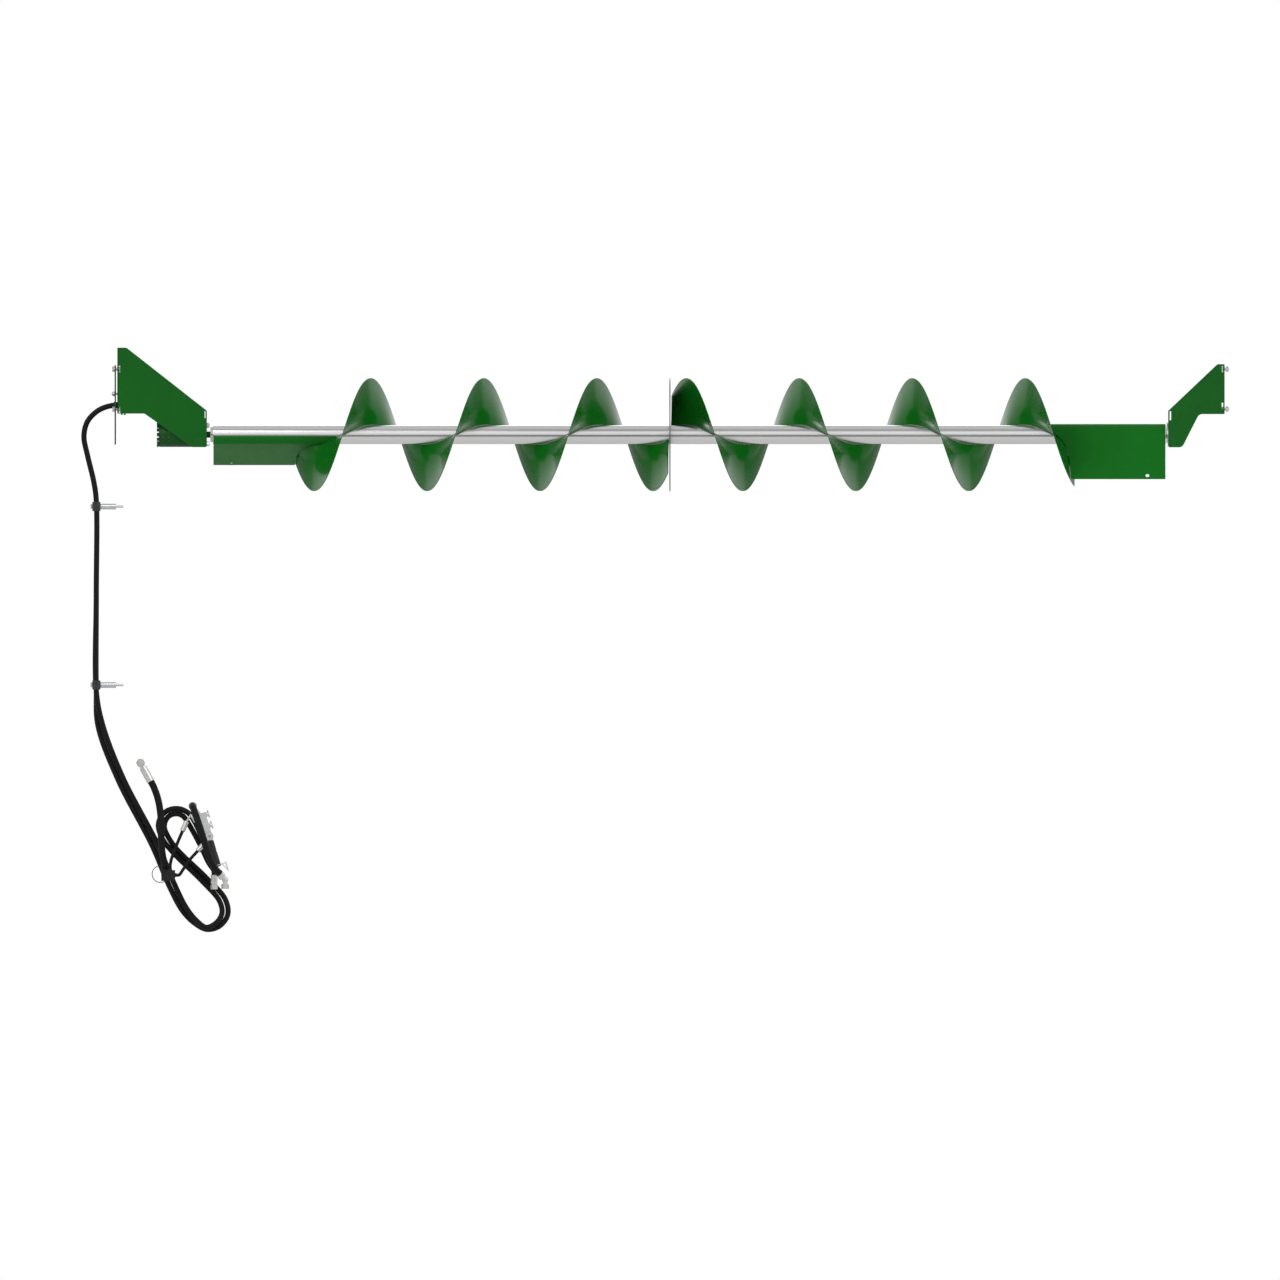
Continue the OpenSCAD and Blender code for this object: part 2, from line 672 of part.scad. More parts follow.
module drive_hub() {
  color("lightgray") difference() {
    on_axis() turned([[shaft_r + fit, tube_x0 - hub_nose], [hub_nose_r - 1, tube_x0 - hub_nose],
      [hub_nose_r, tube_x0 - hub_nose + 1], [hub_nose_r, tube_x0], [plug_r, tube_x0],
      [plug_r, tube_x0 + plug_len], [shaft_r + fit, tube_x0 + plug_len]]);
    translate([tube_x0 - hub_nose - 1, -key_w / 2 - fit, axis_z + shaft_r - key_w / 2])
      cube([hub_nose + plug_len + 2, key_w + 2 * fit, key_w + fit]);
    for (a = [90, 180]) {
      on_axis(tube_x0 - hub_nose / 2) rotate([a, 0, 0]) cylinder(h = hub_nose_r + 1, r = 3.1);
    }
  }
}
module hub_set_screws() {
  color("dimgray") for (a = [90, 180]) {
    on_axis(tube_x0 - hub_nose / 2) rotate([a, 0, 0]) translate([0, 0, shaft_r + fit]) difference() {
      cylinder(h = 14, r = 3);
      translate([0, 0, 11]) cylinder(h = 4, r = 1.6, $fn = 6);
    }
  }
}
module tube_end_plug() {
  color("lightgray") on_axis() difference() {
    along_x(tube_x1 - idler_plug, tube_x1, plug_r);
    along_x(tube_x1 - idler_plug - 1, tube_x1 + 1, idler_r + fit);
  }
}
module idler_stub_shaft() {
  color("silver") on_axis() turned([[0, tube_x1 - 53], [idler_r, tube_x1 - 53], [idler_r, tube_x1 + 40],
    [idler_r - 1.5, tube_x1 + 41.5], [0, tube_x1 + 41.5]]);
}

// --- Idler end ---
module idler_bracket() {
  top = 101;
  low = axis_z - 51.4;
  left_top = axis_z + 96.3;
  color("darkgreen") difference() {
    intersection() {
      channel(idler_x0, span);
      prism_xz(rounded(
        [[span - 29.5, top], [span, top], [span, -top], [span - 103.5, -top], [span - 171.5, low],
          [idler_x0, low], [idler_x0, left_top]],
        [10, 4, 2.8, 22, 22, 8, 3]
      ));
    }
    translate([span, 0, 0]) bolt_places(idler_bolt_y) along_x(-sheet - 1, 1, hole_r);
    on_axis() along_x(idler_x0 - 1, idler_x0 + sheet + 1, ring_out_r + 1);
    flangette_places() along_x(idler_x0 - 1, idler_x0 + sheet + 1, 4.5);
    for (z = [69, -79]) {
      translate([span - 2 * sheet, -half_depth - 1, z]) cube([sheet, sheet + 5, 24]);
    }
    translate([idler_x0 + sheet, -half_depth - 1, left_top - 38]) cube([sheet, sheet + 5, 36]);
    flange_corners(span - sheet, top, -top);
    flange_corners(idler_x0, left_top, low);
  }
}
module idler_end_bolts() {
  color("silver") translate([span, 0, 0]) bolt_places(idler_bolt_y) {
    hex_x(-sheet - head_h, -sheet - fit, hex_r);
    along_x(-sheet - 1, 0, thread_r);
    along_x(0, sheet_room, bolt_r);
    along_x(sheet_room, sheet_room + nut_h + 3.5, thread_r);
  }
}
module idler_end_nuts() {
  color("silver") translate([span + sheet_room, 0, 0]) bolt_places(idler_bolt_y) difference() {
    union() {
      along_x(0, 2, washer_r);
      hex_x(1.5, nut_h, hex_r);
    }
    along_x(-1, nut_h + 1, bolt_nut_r);
  }
}
module flangette(hand) {
  rim = sheet / 2 + fit;
  lip = ring_half + clear;
  color("silver") difference() {
    on_axis(bearing_x) scale([hand, 1, 1]) turned([[ring_out_r + clear, rim], [flangette_r, rim],
      [flangette_r, rim + flangette_t], [ring_out_r + 3.5, rim + flangette_t],
      [ring_out_r + 2.5, lip + flangette_t],
      [ring_out_r - 1.5, lip + flangette_t], [ring_out_r - 1.5, lip], [ring_out_r + clear, lip]]);
    flangette_places() along_x(bearing_x - 20, bearing_x + 20, 4.5);
  }
}
module flangettes() {
  flangette(-1);
  flangette(1);
}
module race_groove() {
  turned_ring = ball_r + clear;
  rotate([0, 90, 0]) rotate_extrude() translate([ball_at, 0]) circle(turned_ring);
}
module bearing_outer_ring() {
  color("silver") on_axis(bearing_x) difference() {
    turned([[race_out, -ring_half], [ring_out_r, -ring_half],
      [ring_out_r, ring_half], [race_out, ring_half]]);
    race_groove();
  }
}
module bearing_inner_ring() {
  color("silver") on_axis(bearing_x) difference() {
    turned([[idler_r + fit, -ring_half - 0.5], [race_in, -ring_half - 0.5],
      [race_in, 20], [idler_r + fit, 20]]);
    race_groove();
  }
}
module bearing_balls() {
  color("silver") for (i = [0:ball_n - 1]) {
    on_axis(bearing_x) rotate([i * 360 / ball_n, 0, 0]) translate([0, ball_at, 0]) sphere(ball_r);
  }
}
module bearing_cage() {
  color("goldenrod") on_axis(bearing_x) difference() {
    turned([[21.6, -6.4], [24.4, -6.4], [24.4, 6.4], [21.6, 6.4]]);
    for (i = [0:ball_n - 1]) {
      rotate([i * 360 / ball_n, 0, 0]) translate([0, ball_at - 8, 0]) rotate([-90, 0, 0])
        cylinder(h = 16, r = ball_r + clear);
    }
  }
}
module bearing_seals() {
  color("black") on_axis(bearing_x) for (x = [-ring_half + 0.1, ring_half - 1.1]) {
    turned([[race_in + 0.3, x], [race_out - clear, x], [race_out - clear, x + 1], [race_in + 0.3, x + 1]]);
  }
}
module bearing_lock_collar() {
  color("dimgray") on_axis(bearing_x) difference() {
    turned([[race_in + fit, 11], [22.5, 11], [22.5, 21], [race_in + fit, 21]]);
    translate([16, 0, 0]) cylinder(h = 30, r = 3);
  }
}
module flangette_bolts() {
  face = sheet / 2 + flangette_t + clear;
  color("silver") translate([bearing_x, 0, 0]) flangette_places() {
    along_x(-face - 3.5, -face, 7);
    along_x(-face - 1, face + 9, 4);
  }
}
module flangette_nuts() {
  face = sheet / 2 + flangette_t + clear;
  color("silver") translate([bearing_x, 0, 0]) flangette_places() difference() {
    hex_x(face + fit, face + 6.5, 7.5);
    along_x(face - 1, face + 8, 4 + clear);
  }
}

// --- Hoses and their hardware ---
module pressure_hose() {
  color("black") hose(front_hose, hose_r, [0, 1, 0]);
}
module return_hose() {
  color("black") hose(back_hose, hose_r, [0, 1, 0]);
}
module clamp_places() {
  for (z = [-clamp_top, -clamp_top - clamp_pitch]) {
    translate([0, 0, z]) children();
  }
}
module hose_clamps() {
  color("dimgray") clamp_places() difference() {
    translate([run_x - 16, -run_y - 15, -clamp_half]) cube([33, 2 * run_y + 30, 2 * clamp_half]);
    translate([run_x - 0.5, -run_y - 20, -clamp_half - 1]) cube([1, 2 * run_y + 40, 2 * clamp_half + 2]);
    for (y = [-run_y, run_y]) {
      translate([run_x, y, -clamp_half - 1]) cylinder(h = 2 * clamp_half + 2, r = hose_r + grip);
    }
    along_x(run_x - 20, run_x + 20, stud_r + 0.2);
  }
}
module clamp_spacers() {
  color("silver") clamp_places() difference() {
    along_x(run_x + 17 + fit, -sheet_room, spacer_r);
    along_x(run_x, 0, stud_r + 0.4);
  }
}
module clamp_studs() {
  color("silver") clamp_places() {
    hex_x(run_x - 23, run_x - 16 - fit, 9.8);
    along_x(run_x - 17, -sheet_room, stud_shank_r);
    along_x(-sheet_room, stud_out, stud_r);
  }
}
module end_fitting(x, y, top, stop, ferrule_r, neck_r) {
  translate([x, y, stop + 3]) cylinder(h = top - stop - 3, r = ferrule_r);
  translate([x, y, stop - 8.8]) cylinder(h = 13, r = neck_r);
  translate([x, y, stop - 8.8]) cylinder(h = 3, r = neck_r + 1.4);
}
module swivel_nut(x, y, top, height, flat_r, neck_r) {
  translate([x, y, top - height]) difference() {
    cylinder(h = height, r = flat_r, $fn = 6);
    translate([0, 0, -1]) cylinder(h = nut_thread + 1, r = neck_r + 1.5);
    translate([0, 0, nut_thread]) cylinder(h = height - nut_thread - 4, r = neck_r + 1.8);
    cylinder(h = height + 1, r = neck_r + clear);
  }
}
module main_hose_ends() {
  color("silver") for (y = [nut_front_y, nut_back_y]) {
    end_fitting(nut_x, y, hose_end_z, nut_top, 13.5, 8);
  }
}
module front_swivel_nut() {
  color("silver") swivel_nut(nut_x, nut_front_y, nut_top, 18, 13.8, 8);
}
module back_swivel_nut() {
  color("silver") swivel_nut(nut_x, nut_back_y, nut_top, 18, 13.8, 8);
}
module supply_hose() {
  color("black") hose(supply_path, wide_r, unit([0.94, 0, 0.33]));
}
module supply_hose_ends() {
  color("silver") {
    translate([supply_path[0].x, -112, supply_path[0].z]) rotate([-90, 0, 0]) cylinder(h = 12 - fit, r = 17);
    rod(supply_end, supply_end + 24 * supply_way, 16);
    rod(supply_end + 23 * supply_way, elbow_at, 10);
    translate(elbow_at) sphere(13);
    translate([elbow_at.x, elbow_at.y, -2012.8]) cylinder(h = elbow_at.z + 2012.8, r = 10);
    translate([elbow_at.x, elbow_at.y, -2012.8]) cylinder(h = 3, r = 11.4);
  }
}
module supply_swivel_nut() {
  color("silver") swivel_nut(elbow_at.x, elbow_at.y, -2003, 19, 16.1, 10);
}
module drain_hose() {
  color("black") hose(drain_path, wide_r, [0, 1, 0]);
}
module drain_hose_end() {
  start = drain_path[0];
  way = heading(drain_path, 0);
  head = start - 84 * way;
  color("silver") {
    rod(start - 64 * way, start, 16);
    rod(head, start - 63 * way, 11);
    translate(head) sphere(13);
    translate(head) rotate([90, 0, 0]) cylinder(h = 34, r = 10);
    translate(head - [0, 12, 0]) rotate([90, 0, 0]) cylinder(h = 16, r = 19, $fn = 6);
  }
}
module riser(top, r) {
  translate([top.x, top.y, manifold_at.z]) cylinder(h = top.z - manifold_at.z, r = r);
}
module junction_manifold() {
  color("dimgray") {
    translate(manifold_at - manifold_size / 2) cube(manifold_size);
    riser(drain_path[7], 14.5);
    riser(pilot_high[4], 8);
    translate([manifold_at.x, pilot_low[4].y, pilot_low[4].z]) rotate([0, 90, 0])
      cylinder(h = pilot_low[4].x - manifold_at.x, r = 8);
  }
}
module pilot_hoses() {
  color("black") {
    hose(pilot_high, thin_r, [0, 1, 0], 8);
    hose(pilot_low, thin_r, [0, 1, 0], 8);
  }
}
module bent_pipe(points, r) {
  for (i = [0:len(points) - 2]) {
    rod(points[i], points[i + 1], r);
    translate(points[i]) sphere(1.15 * r);
  }
}
module pilot_hose_ends() {
  high_way = heading(pilot_high, 0);
  low_way = heading(pilot_low, 0);
  face = -valve_size.x / 2 - fit;
  color("silver") {
    rod(pilot_high[0] - 42 * high_way, pilot_high[0], 10.5);
    bent_pipe([pilot_high[0] - 40 * high_way, [297, -80, -1723], [313, -80, -1750],
      valve_point([-26, 0, 17]), valve_point([face, 0, 17])], 4);
    rod(pilot_low[0] - 33 * low_way, pilot_low[0], 11);
    bent_pipe([pilot_low[0] - 32 * low_way, valve_point([-24, 0, -45]), valve_point([face, 0, -45])], 4);
  }
}
module valve_block() {
  side = valve_size.x / 2;
  color("lightgray") {
    at_valve() difference() {
      union() {
        cube(valve_size, center = true);
        for (z = cock_heights) {
          translate([side - 1, 0, z]) rotate([0, 90, 0]) cylinder(h = 6, r = 9.5);
        }
        translate([3, -valve_size.y / 2 - 12, -42]) rotate([-90, 0, 0]) cylinder(h = 13, r = 16);
        translate([0, 0, -valve_size.z / 2 - 17]) cylinder(h = 18, r = 9);
      }
      for (z = cock_heights) {
        translate([-5, 0, z]) rotate([0, 90, 0]) cylinder(h = 40, r = cock_r + clear);
      }
      translate([3, -valve_size.y / 2 - 13, -42]) rotate([-90, 0, 0]) cylinder(h = 7, r = 6, $fn = 6);
    }
    rod([305, -80, -1687], valve_point([-10, 0, 52]), 9);
    translate([305, -100, -1687]) rotate([-90, 0, 0]) cylinder(h = 34, r = 15);
  }
}
module valve_cock(z) {
  color("silver") at_valve() translate([0, 0, z]) {
    translate([-4.8, 0, 0]) rotate([0, 90, 0]) cylinder(h = 30, r = cock_r);
    translate([26, 0, -16]) cylinder(h = 32, r = 3.5);
  }
}
module upper_cock() {
  valve_cock(cock_heights[0]);
}
module lower_cock() {
  valve_cock(cock_heights[1]);
}
module coupler_boot() {
  color("black") at_valve() difference() {
    rotate_extrude() polygon([[0, -170], [11, -170], [14, -166], [14, -110], [12.5, -108], [12.5, -104],
      [14, -102], [14, -60], [0, -60]]);
    translate([0, 0, -valve_size.z / 2 - 18]) cylinder(h = 20, r = 9 + clear);
  }
}
module boot_bail() {
  color("silver") at_valve() translate([0, 0, -163]) {
    rotate_extrude() translate([14.3, 0]) circle(1.3);
    translate([13, -1.6, -1.6]) cube([24, 3.2, 3.2]);
    translate([36, 0, -34]) cylinder(h = 38, r = 2.6);
    rod([18, 0, 0], [36, 0, -30], 1.8);
  }
}
module hose_tie() {
  color("black") {
    translate([202, 0, -1962]) rotate([0, -23.1, 0]) difference() {
      union() {
        for (side = [-1, 1]) {
          translate([tie_half * side, -tie_y * side, -6]) cylinder(h = 12, r = hose_r + 2.8);
        }
        translate([-tie_half, -hose_r - 2.8, -6]) cube([2 * tie_half, hose_d + 5.6, 12]);
      }
      for (side = [-1, 1]) {
        translate([tie_half * side, -tie_y * side, -7]) cylinder(h = 14, r = hose_r + 0.7);
      }
    }
    rod([202, -12.5, -1962], [209, -45, -1962], 1.5);
    translate([175, -45, -1962]) rotate([90, 0, 0]) rotate_extrude() translate([34, 0]) circle(1.6);
  }
}

// --- Fasteners and hose ends, one group each ---
module bracket_bolts() {
  drive_end_bolts();
  idler_end_bolts();
  plate_bolt();
}
module bracket_nuts() {
  drive_end_nuts();
  idler_end_nuts();
}
module hose_end_fittings() {
  main_hose_ends();
  supply_hose_ends();
  drain_hose_end();
  pilot_hose_ends();
}

drive_bracket();
drive_backing_plate();
idler_bracket();
bracket_bolts();
bracket_nuts();
hose_grommet();
motor_end_cover();
motor_cover_bolts();
geroler_ring();
geroler_rollers();
geroler_star();
motor_spacer_plate();
motor_housing();
drive_link();
motor_output_shaft();
motor_shaft_key();
motor_shaft_seal();
motor_mount_bolts();
motor_mount_nuts();
motor_port_fittings();
auger_tube();
left_flighting();
right_flighting();
centre_disc();
left_paddle();
right_paddle();
paddle_bolts();
paddle_nuts();
drive_hub();
hub_set_screws();
tube_end_plug();
idler_stub_shaft();
flangettes();
bearing_outer_ring();
bearing_inner_ring();
bearing_balls();
bearing_cage();
bearing_seals();
bearing_lock_collar();
flangette_bolts();
flangette_nuts();
pressure_hose();
return_hose();
hose_clamps();
clamp_spacers();
clamp_studs();
hose_end_fittings();
front_swivel_nut();
back_swivel_nut();
supply_hose();
supply_swivel_nut();
drain_hose();
pilot_hoses();
junction_manifold();
valve_block();
upper_cock();
lower_cock();
coupler_boot();
boot_bail();
hose_tie();
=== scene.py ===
# %% [markdown]
# # Cross auger kit
# A cross auger lies over the front of a harvester's platform and pushes bulky crop to the middle.
# This lesson loads its exact solids as a fixed frame, then gives them what solids lack:
# smooth flighting, flexible hoses, weld beads, a crimp flare at each hose end, and finishes made of nodes.

# %% Frame
import math

import bmesh
import bpy
import numpy as np
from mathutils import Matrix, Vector


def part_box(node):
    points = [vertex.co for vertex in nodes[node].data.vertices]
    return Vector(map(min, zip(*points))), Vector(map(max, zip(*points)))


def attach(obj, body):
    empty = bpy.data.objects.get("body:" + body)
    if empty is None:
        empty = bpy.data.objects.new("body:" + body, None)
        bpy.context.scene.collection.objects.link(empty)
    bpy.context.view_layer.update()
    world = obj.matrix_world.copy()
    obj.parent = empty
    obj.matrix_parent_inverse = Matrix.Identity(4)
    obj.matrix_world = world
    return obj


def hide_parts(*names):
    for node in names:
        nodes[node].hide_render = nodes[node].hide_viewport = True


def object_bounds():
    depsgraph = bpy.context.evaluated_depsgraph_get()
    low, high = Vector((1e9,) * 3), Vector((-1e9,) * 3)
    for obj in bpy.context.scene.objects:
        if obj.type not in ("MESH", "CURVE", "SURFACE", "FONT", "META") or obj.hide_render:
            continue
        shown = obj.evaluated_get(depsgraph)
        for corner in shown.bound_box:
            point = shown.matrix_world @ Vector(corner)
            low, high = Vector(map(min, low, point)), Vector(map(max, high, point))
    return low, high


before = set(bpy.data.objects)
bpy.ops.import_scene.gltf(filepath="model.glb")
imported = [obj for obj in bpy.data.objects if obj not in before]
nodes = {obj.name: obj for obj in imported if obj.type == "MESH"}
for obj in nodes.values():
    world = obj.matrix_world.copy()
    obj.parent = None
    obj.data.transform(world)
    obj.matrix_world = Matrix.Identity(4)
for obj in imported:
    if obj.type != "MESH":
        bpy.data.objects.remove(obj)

cad_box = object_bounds()
print("solids loaded:", len(nodes), "box:", cad_box)

# %% [markdown]
# ## Camera
# A parallel (orthographic) camera keeps both brackets the same shape. Its scale is the width of
# the frame in metres.

# %% Camera
FRAME_WIDTH = 5.179
FRAME_MIDDLE = (2.115, -1.015)
STAND_OFF = 30.0
CLIP = 200.0
camera = bpy.data.objects.new("camera", bpy.data.cameras.new("camera"))
bpy.context.collection.objects.link(camera)
camera.data.type = "ORTHO"
camera.data.ortho_scale = FRAME_WIDTH
camera.data.clip_end = CLIP
camera.location = (FRAME_MIDDLE[0], -STAND_OFF, FRAME_MIDDLE[1])
camera.rotation_euler = (math.radians(90), 0, 0)
bpy.context.scene.camera = camera
print("camera looks along +Y, frame", FRAME_WIDTH, "m wide")

# %% [markdown]
# ## Nodes and colours
# Colours are picked as sRGB hex, but shaders work in linear light, so one function turns one into
# the other. One more adds any node with its settings and its links, which keeps recipes short.

# %% Helpers for materials


def linear(code):
    """sRGB hex to linear RGBA."""
    values = [int(code[i:i + 2], 16) / 255 for i in (1, 3, 5)]
    return [v / 12.92 if v <= 0.04045 else ((v + 0.055) / 1.055) ** 2.4 for v in values] + [1.0]


def add(tree, kind, inputs=None, **settings):
    """A node with its settings; an input is a number, a colour or another node's socket."""
    made = tree.nodes.new(kind)
    for key, value in settings.items():
        setattr(made, key, value)
    for key, value in (inputs or {}).items():
        if isinstance(value, bpy.types.NodeSocket):
            tree.links.new(value, made.inputs[key])
        else:
            made.inputs[key].default_value = value
    return made


def material(name):
    """An empty material, its tree and its main shader."""
    made = bpy.data.materials.new(name)
    made.use_nodes = True
    return made, made.node_tree, made.node_tree.nodes["Principled BSDF"]


MM = 0.001

# The Mix node keeps a socket for every kind of value; these are the ones for colours.
SHARE, FROM, TO, MIXED = 0, 6, 7, 2


def per_mm(size):
    """Pattern scale, in repeats a metre, whose features are about this many millimetres wide."""
    return 1 / (size * MM)


print("a 4 mm pattern repeats", round(per_mm(4)), "times a metre")

# %% [markdown]
# ## Sprayed enamel
# The brackets are cut and bent from sheet and sprayed green. Wet enamel pulls into a faint
# orange peel 3 to 5 mm wide, settles a little darker in places, and gathers fine dust.
# A noise mixes two near greens over patches wider than a hand; a finer one drives the bump.
# The Bevel node finds the bent edges, which are painted a little lighter: a painted highlight along them,
# broken into patches by a noise as rubbed paint would be.
# The backing plate takes a greyer, darker and duller green. The cast motor shows a
# coarser skin through its paint, and the hub and the valve block wear a flat, pale grey primer.

# %% Enamel
PATCH_MM = 420.0


def enamel(name, light, dark, rough, peel_mm=4.0, peel=0.25, shine=0.16, edge_highlight_and_wear=None):
    made, tree, shader = material(name)
    place = add(tree, "ShaderNodeTexCoord").outputs["Object"]
    patch = add(tree, "ShaderNodeTexNoise", {"Vector": place, "Scale": per_mm(PATCH_MM), "Detail": 6.0,
                                             "Roughness": 0.6})
    ramp = add(tree, "ShaderNodeMapRange", {"Value": patch.outputs["Fac"], "From Min": 0.35,
                                            "From Max": 0.65})
    colour = add(tree, "ShaderNodeMix", {SHARE: ramp.outputs[0], FROM: linear(dark), TO: linear(light)},
                 data_type="RGBA").outputs[MIXED]
    # Bent edges painted lighter: a painted edge highlight, broken up by a noise like rubbed paint.
    if edge_highlight_and_wear:
        edge = add(tree, "ShaderNodeBevel", {"Radius": 2.2 * MM}, samples=4)
        face = add(tree, "ShaderNodeNewGeometry")
        bend = add(tree, "ShaderNodeVectorMath", {0: edge.outputs[0], 1: face.outputs["Normal"]},
                   operation="DOT_PRODUCT")
        near = add(tree, "ShaderNodeMapRange", {"Value": bend.outputs["Value"], "From Min": 0.99,
                                                "From Max": 0.86})
        chip = add(tree, "ShaderNodeTexNoise", {"Vector": place, "Scale": per_mm(14), "Detail": 5.0})
        edge_highlight_and_wear_mask = add(tree, "ShaderNodeMath", {0: near.outputs[0], 1: chip.outputs["Fac"]},
                  operation="MULTIPLY")
        colour = add(tree, "ShaderNodeMix", {SHARE: edge_highlight_and_wear_mask.outputs[0], FROM: colour, TO: linear(edge_highlight_and_wear)},
                     data_type="RGBA").outputs[MIXED]
    tree.links.new(colour, shader.inputs["Base Color"])
    dust = add(tree, "ShaderNodeTexNoise", {"Vector": place, "Scale": per_mm(35), "Detail": 8.0,
                                            "Roughness": 0.7})
    haze = add(tree, "ShaderNodeMapRange", {"Value": dust.outputs["Fac"], "From Min": 0.3, "From Max": 0.75,
                                            "To Min": rough - 0.08, "To Max": rough + 0.14})
    tree.links.new(haze.outputs[0], shader.inputs["Roughness"])
    skin = add(tree, "ShaderNodeTexNoise", {"Vector": place, "Scale": per_mm(peel_mm), "Detail": 2.0})
    bump = add(tree, "ShaderNodeBump", {"Height": skin.outputs["Fac"], "Strength": peel,
                                        "Distance": 0.4 * MM})
    tree.links.new(bump.outputs[0], shader.inputs["Normal"])
    shader.inputs["Specular IOR Level"].default_value = shine
    shader.inputs["IOR"].default_value = 1.5
    return made


# The brackets' bent edges take a lighter green: a painted edge highlight with a little rub wear.
bracket_green = enamel("sprayed_green_enamel", "#065b11", "#055110", rough=0.32, edge_highlight_and_wear="#23702b")
# The backing plate's green is greyer and darker than the brackets'.
plate_green = enamel("darker_grey_green_enamel", "#2c4231", "#22372a", rough=0.45)
motor_green = enamel("cast_green_enamel", "#10491a", "#0b3c10", rough=0.4, peel_mm=2.6, peel=0.55)
hub_grey = enamel("pale_grey_primer", "#d2d4d3", "#bfc2c1", rough=0.5, peel_mm=2.0, peel=0.3)
print("enamels:", bracket_green.name, plate_green.name, motor_green.name, hub_grey.name)

# %% [markdown]
# ## Flighting enamel
# Crop slides along the flighting and polishes it in long arcs round the tube. The flighting's
# UV map runs along the arc in metres, so a noise stretched along U draws those scuffs. A thin
# coat keeps the polish, and the paddles, which only sweep, take the plain enamel.

# %% Flighting enamel


def flighting_enamel(name, light, dark, scuff):
    made, tree, shader = material(name)
    uv = add(tree, "ShaderNodeTexCoord").outputs["UV"]
    long_way = add(tree, "ShaderNodeMapping", {"Vector": uv, "Scale": (1.6, 60.0, 1.0)})
    streak = add(tree, "ShaderNodeTexNoise", {"Vector": long_way.outputs[0], "Scale": 1.0, "Detail": 7.0,
                                              "Roughness": 0.62})
    patch = add(tree, "ShaderNodeTexNoise", {"Vector": uv, "Scale": per_mm(220), "Detail": 4.0})
    base = add(tree, "ShaderNodeMix", {SHARE: patch.outputs["Fac"], FROM: linear(dark), TO: linear(light)},
               data_type="RGBA").outputs[MIXED]
    mask = add(tree, "ShaderNodeMapRange", {"Value": streak.outputs["Fac"], "From Min": 0.56,
                                            "From Max": 0.8, "To Max": 0.22})
    tone = add(tree, "ShaderNodeMix", {SHARE: mask.outputs[0], FROM: base, TO: linear(scuff)},
               data_type="RGBA").outputs[MIXED]
    tree.links.new(tone, shader.inputs["Base Color"])
    rough = add(tree, "ShaderNodeMapRange", {"Value": streak.outputs["Fac"], "To Min": 0.26,
                                             "To Max": 0.16})
    tree.links.new(rough.outputs[0], shader.inputs["Roughness"])
    bump = add(tree, "ShaderNodeBump", {"Height": streak.outputs["Fac"], "Strength": 0.05,
                                        "Distance": 0.3 * MM})
    tree.links.new(bump.outputs[0], shader.inputs["Normal"])
    shader.inputs["Specular IOR Level"].default_value = 0.18
    shader.inputs["Coat Weight"].default_value = 0.08
    shader.inputs["Coat Roughness"].default_value = 0.08
    return made


flight_green = flighting_enamel("scuffed_flighting_enamel", "#0c6817", "#085a10", "#3a7443")
paddle_green = enamel("paddle_green_enamel", "#12661a", "#0f5d16", rough=0.3, shine=0.08)
print("flighting finish:", flight_green.name, "paddles:", paddle_green.name)

# %% [markdown]
# ## Bare and plated steel
# The tube is drawn steel: bright, with fine lines along its length. Bolts and fittings are zinc
# plated, which is greyer and slightly cloudy. Set screws are black oxide, the junction block is
# phosphated iron, dark and grainy, and the bearing's cage is pressed brass.
# All are full metals, so the default IOR stays.
# The stretch of the noise makes the lines: one axis is squeezed, the other two are fine.
# Real grain is too fine to show, so it is drawn one or two millimetres wide.

# %% Steels


def steel(name, light, dark, rough, stretch=(1.0, 1.0, 1.0), grain_mm=1.6, bump_by=0.1, cloud_mm=30.0,
          aniso=0.0):
    made, tree, shader = material(name)
    place = add(tree, "ShaderNodeTexCoord").outputs["Object"]
    squeezed = add(tree, "ShaderNodeMapping", {"Vector": place, "Scale": stretch})
    grain = add(tree, "ShaderNodeTexNoise", {"Vector": squeezed.outputs[0], "Scale": per_mm(grain_mm),
                                             "Detail": 4.0})
    cloud = add(tree, "ShaderNodeTexNoise", {"Vector": place, "Scale": per_mm(cloud_mm), "Detail": 5.0})
    tone = add(tree, "ShaderNodeMix", {SHARE: cloud.outputs["Fac"], FROM: linear(dark), TO: linear(light)},
               data_type="RGBA").outputs[MIXED]
    tree.links.new(tone, shader.inputs["Base Color"])
    both = add(tree, "ShaderNodeMath", {0: grain.outputs["Fac"], 1: cloud.outputs["Fac"]},
               operation="MULTIPLY")
    haze = add(tree, "ShaderNodeMapRange", {"Value": both.outputs[0], "From Min": 0.1, "From Max": 0.45,
                                            "To Min": rough - 0.06, "To Max": rough + 0.14})
    tree.links.new(haze.outputs[0], shader.inputs["Roughness"])
    bump = add(tree, "ShaderNodeBump", {"Height": grain.outputs["Fac"], "Strength": bump_by,
                                        "Distance": 0.2 * MM})
    tree.links.new(bump.outputs[0], shader.inputs["Normal"])
    shader.inputs["Metallic"].default_value = 1.0
    shader.inputs["Anisotropic"].default_value = aniso
    return made


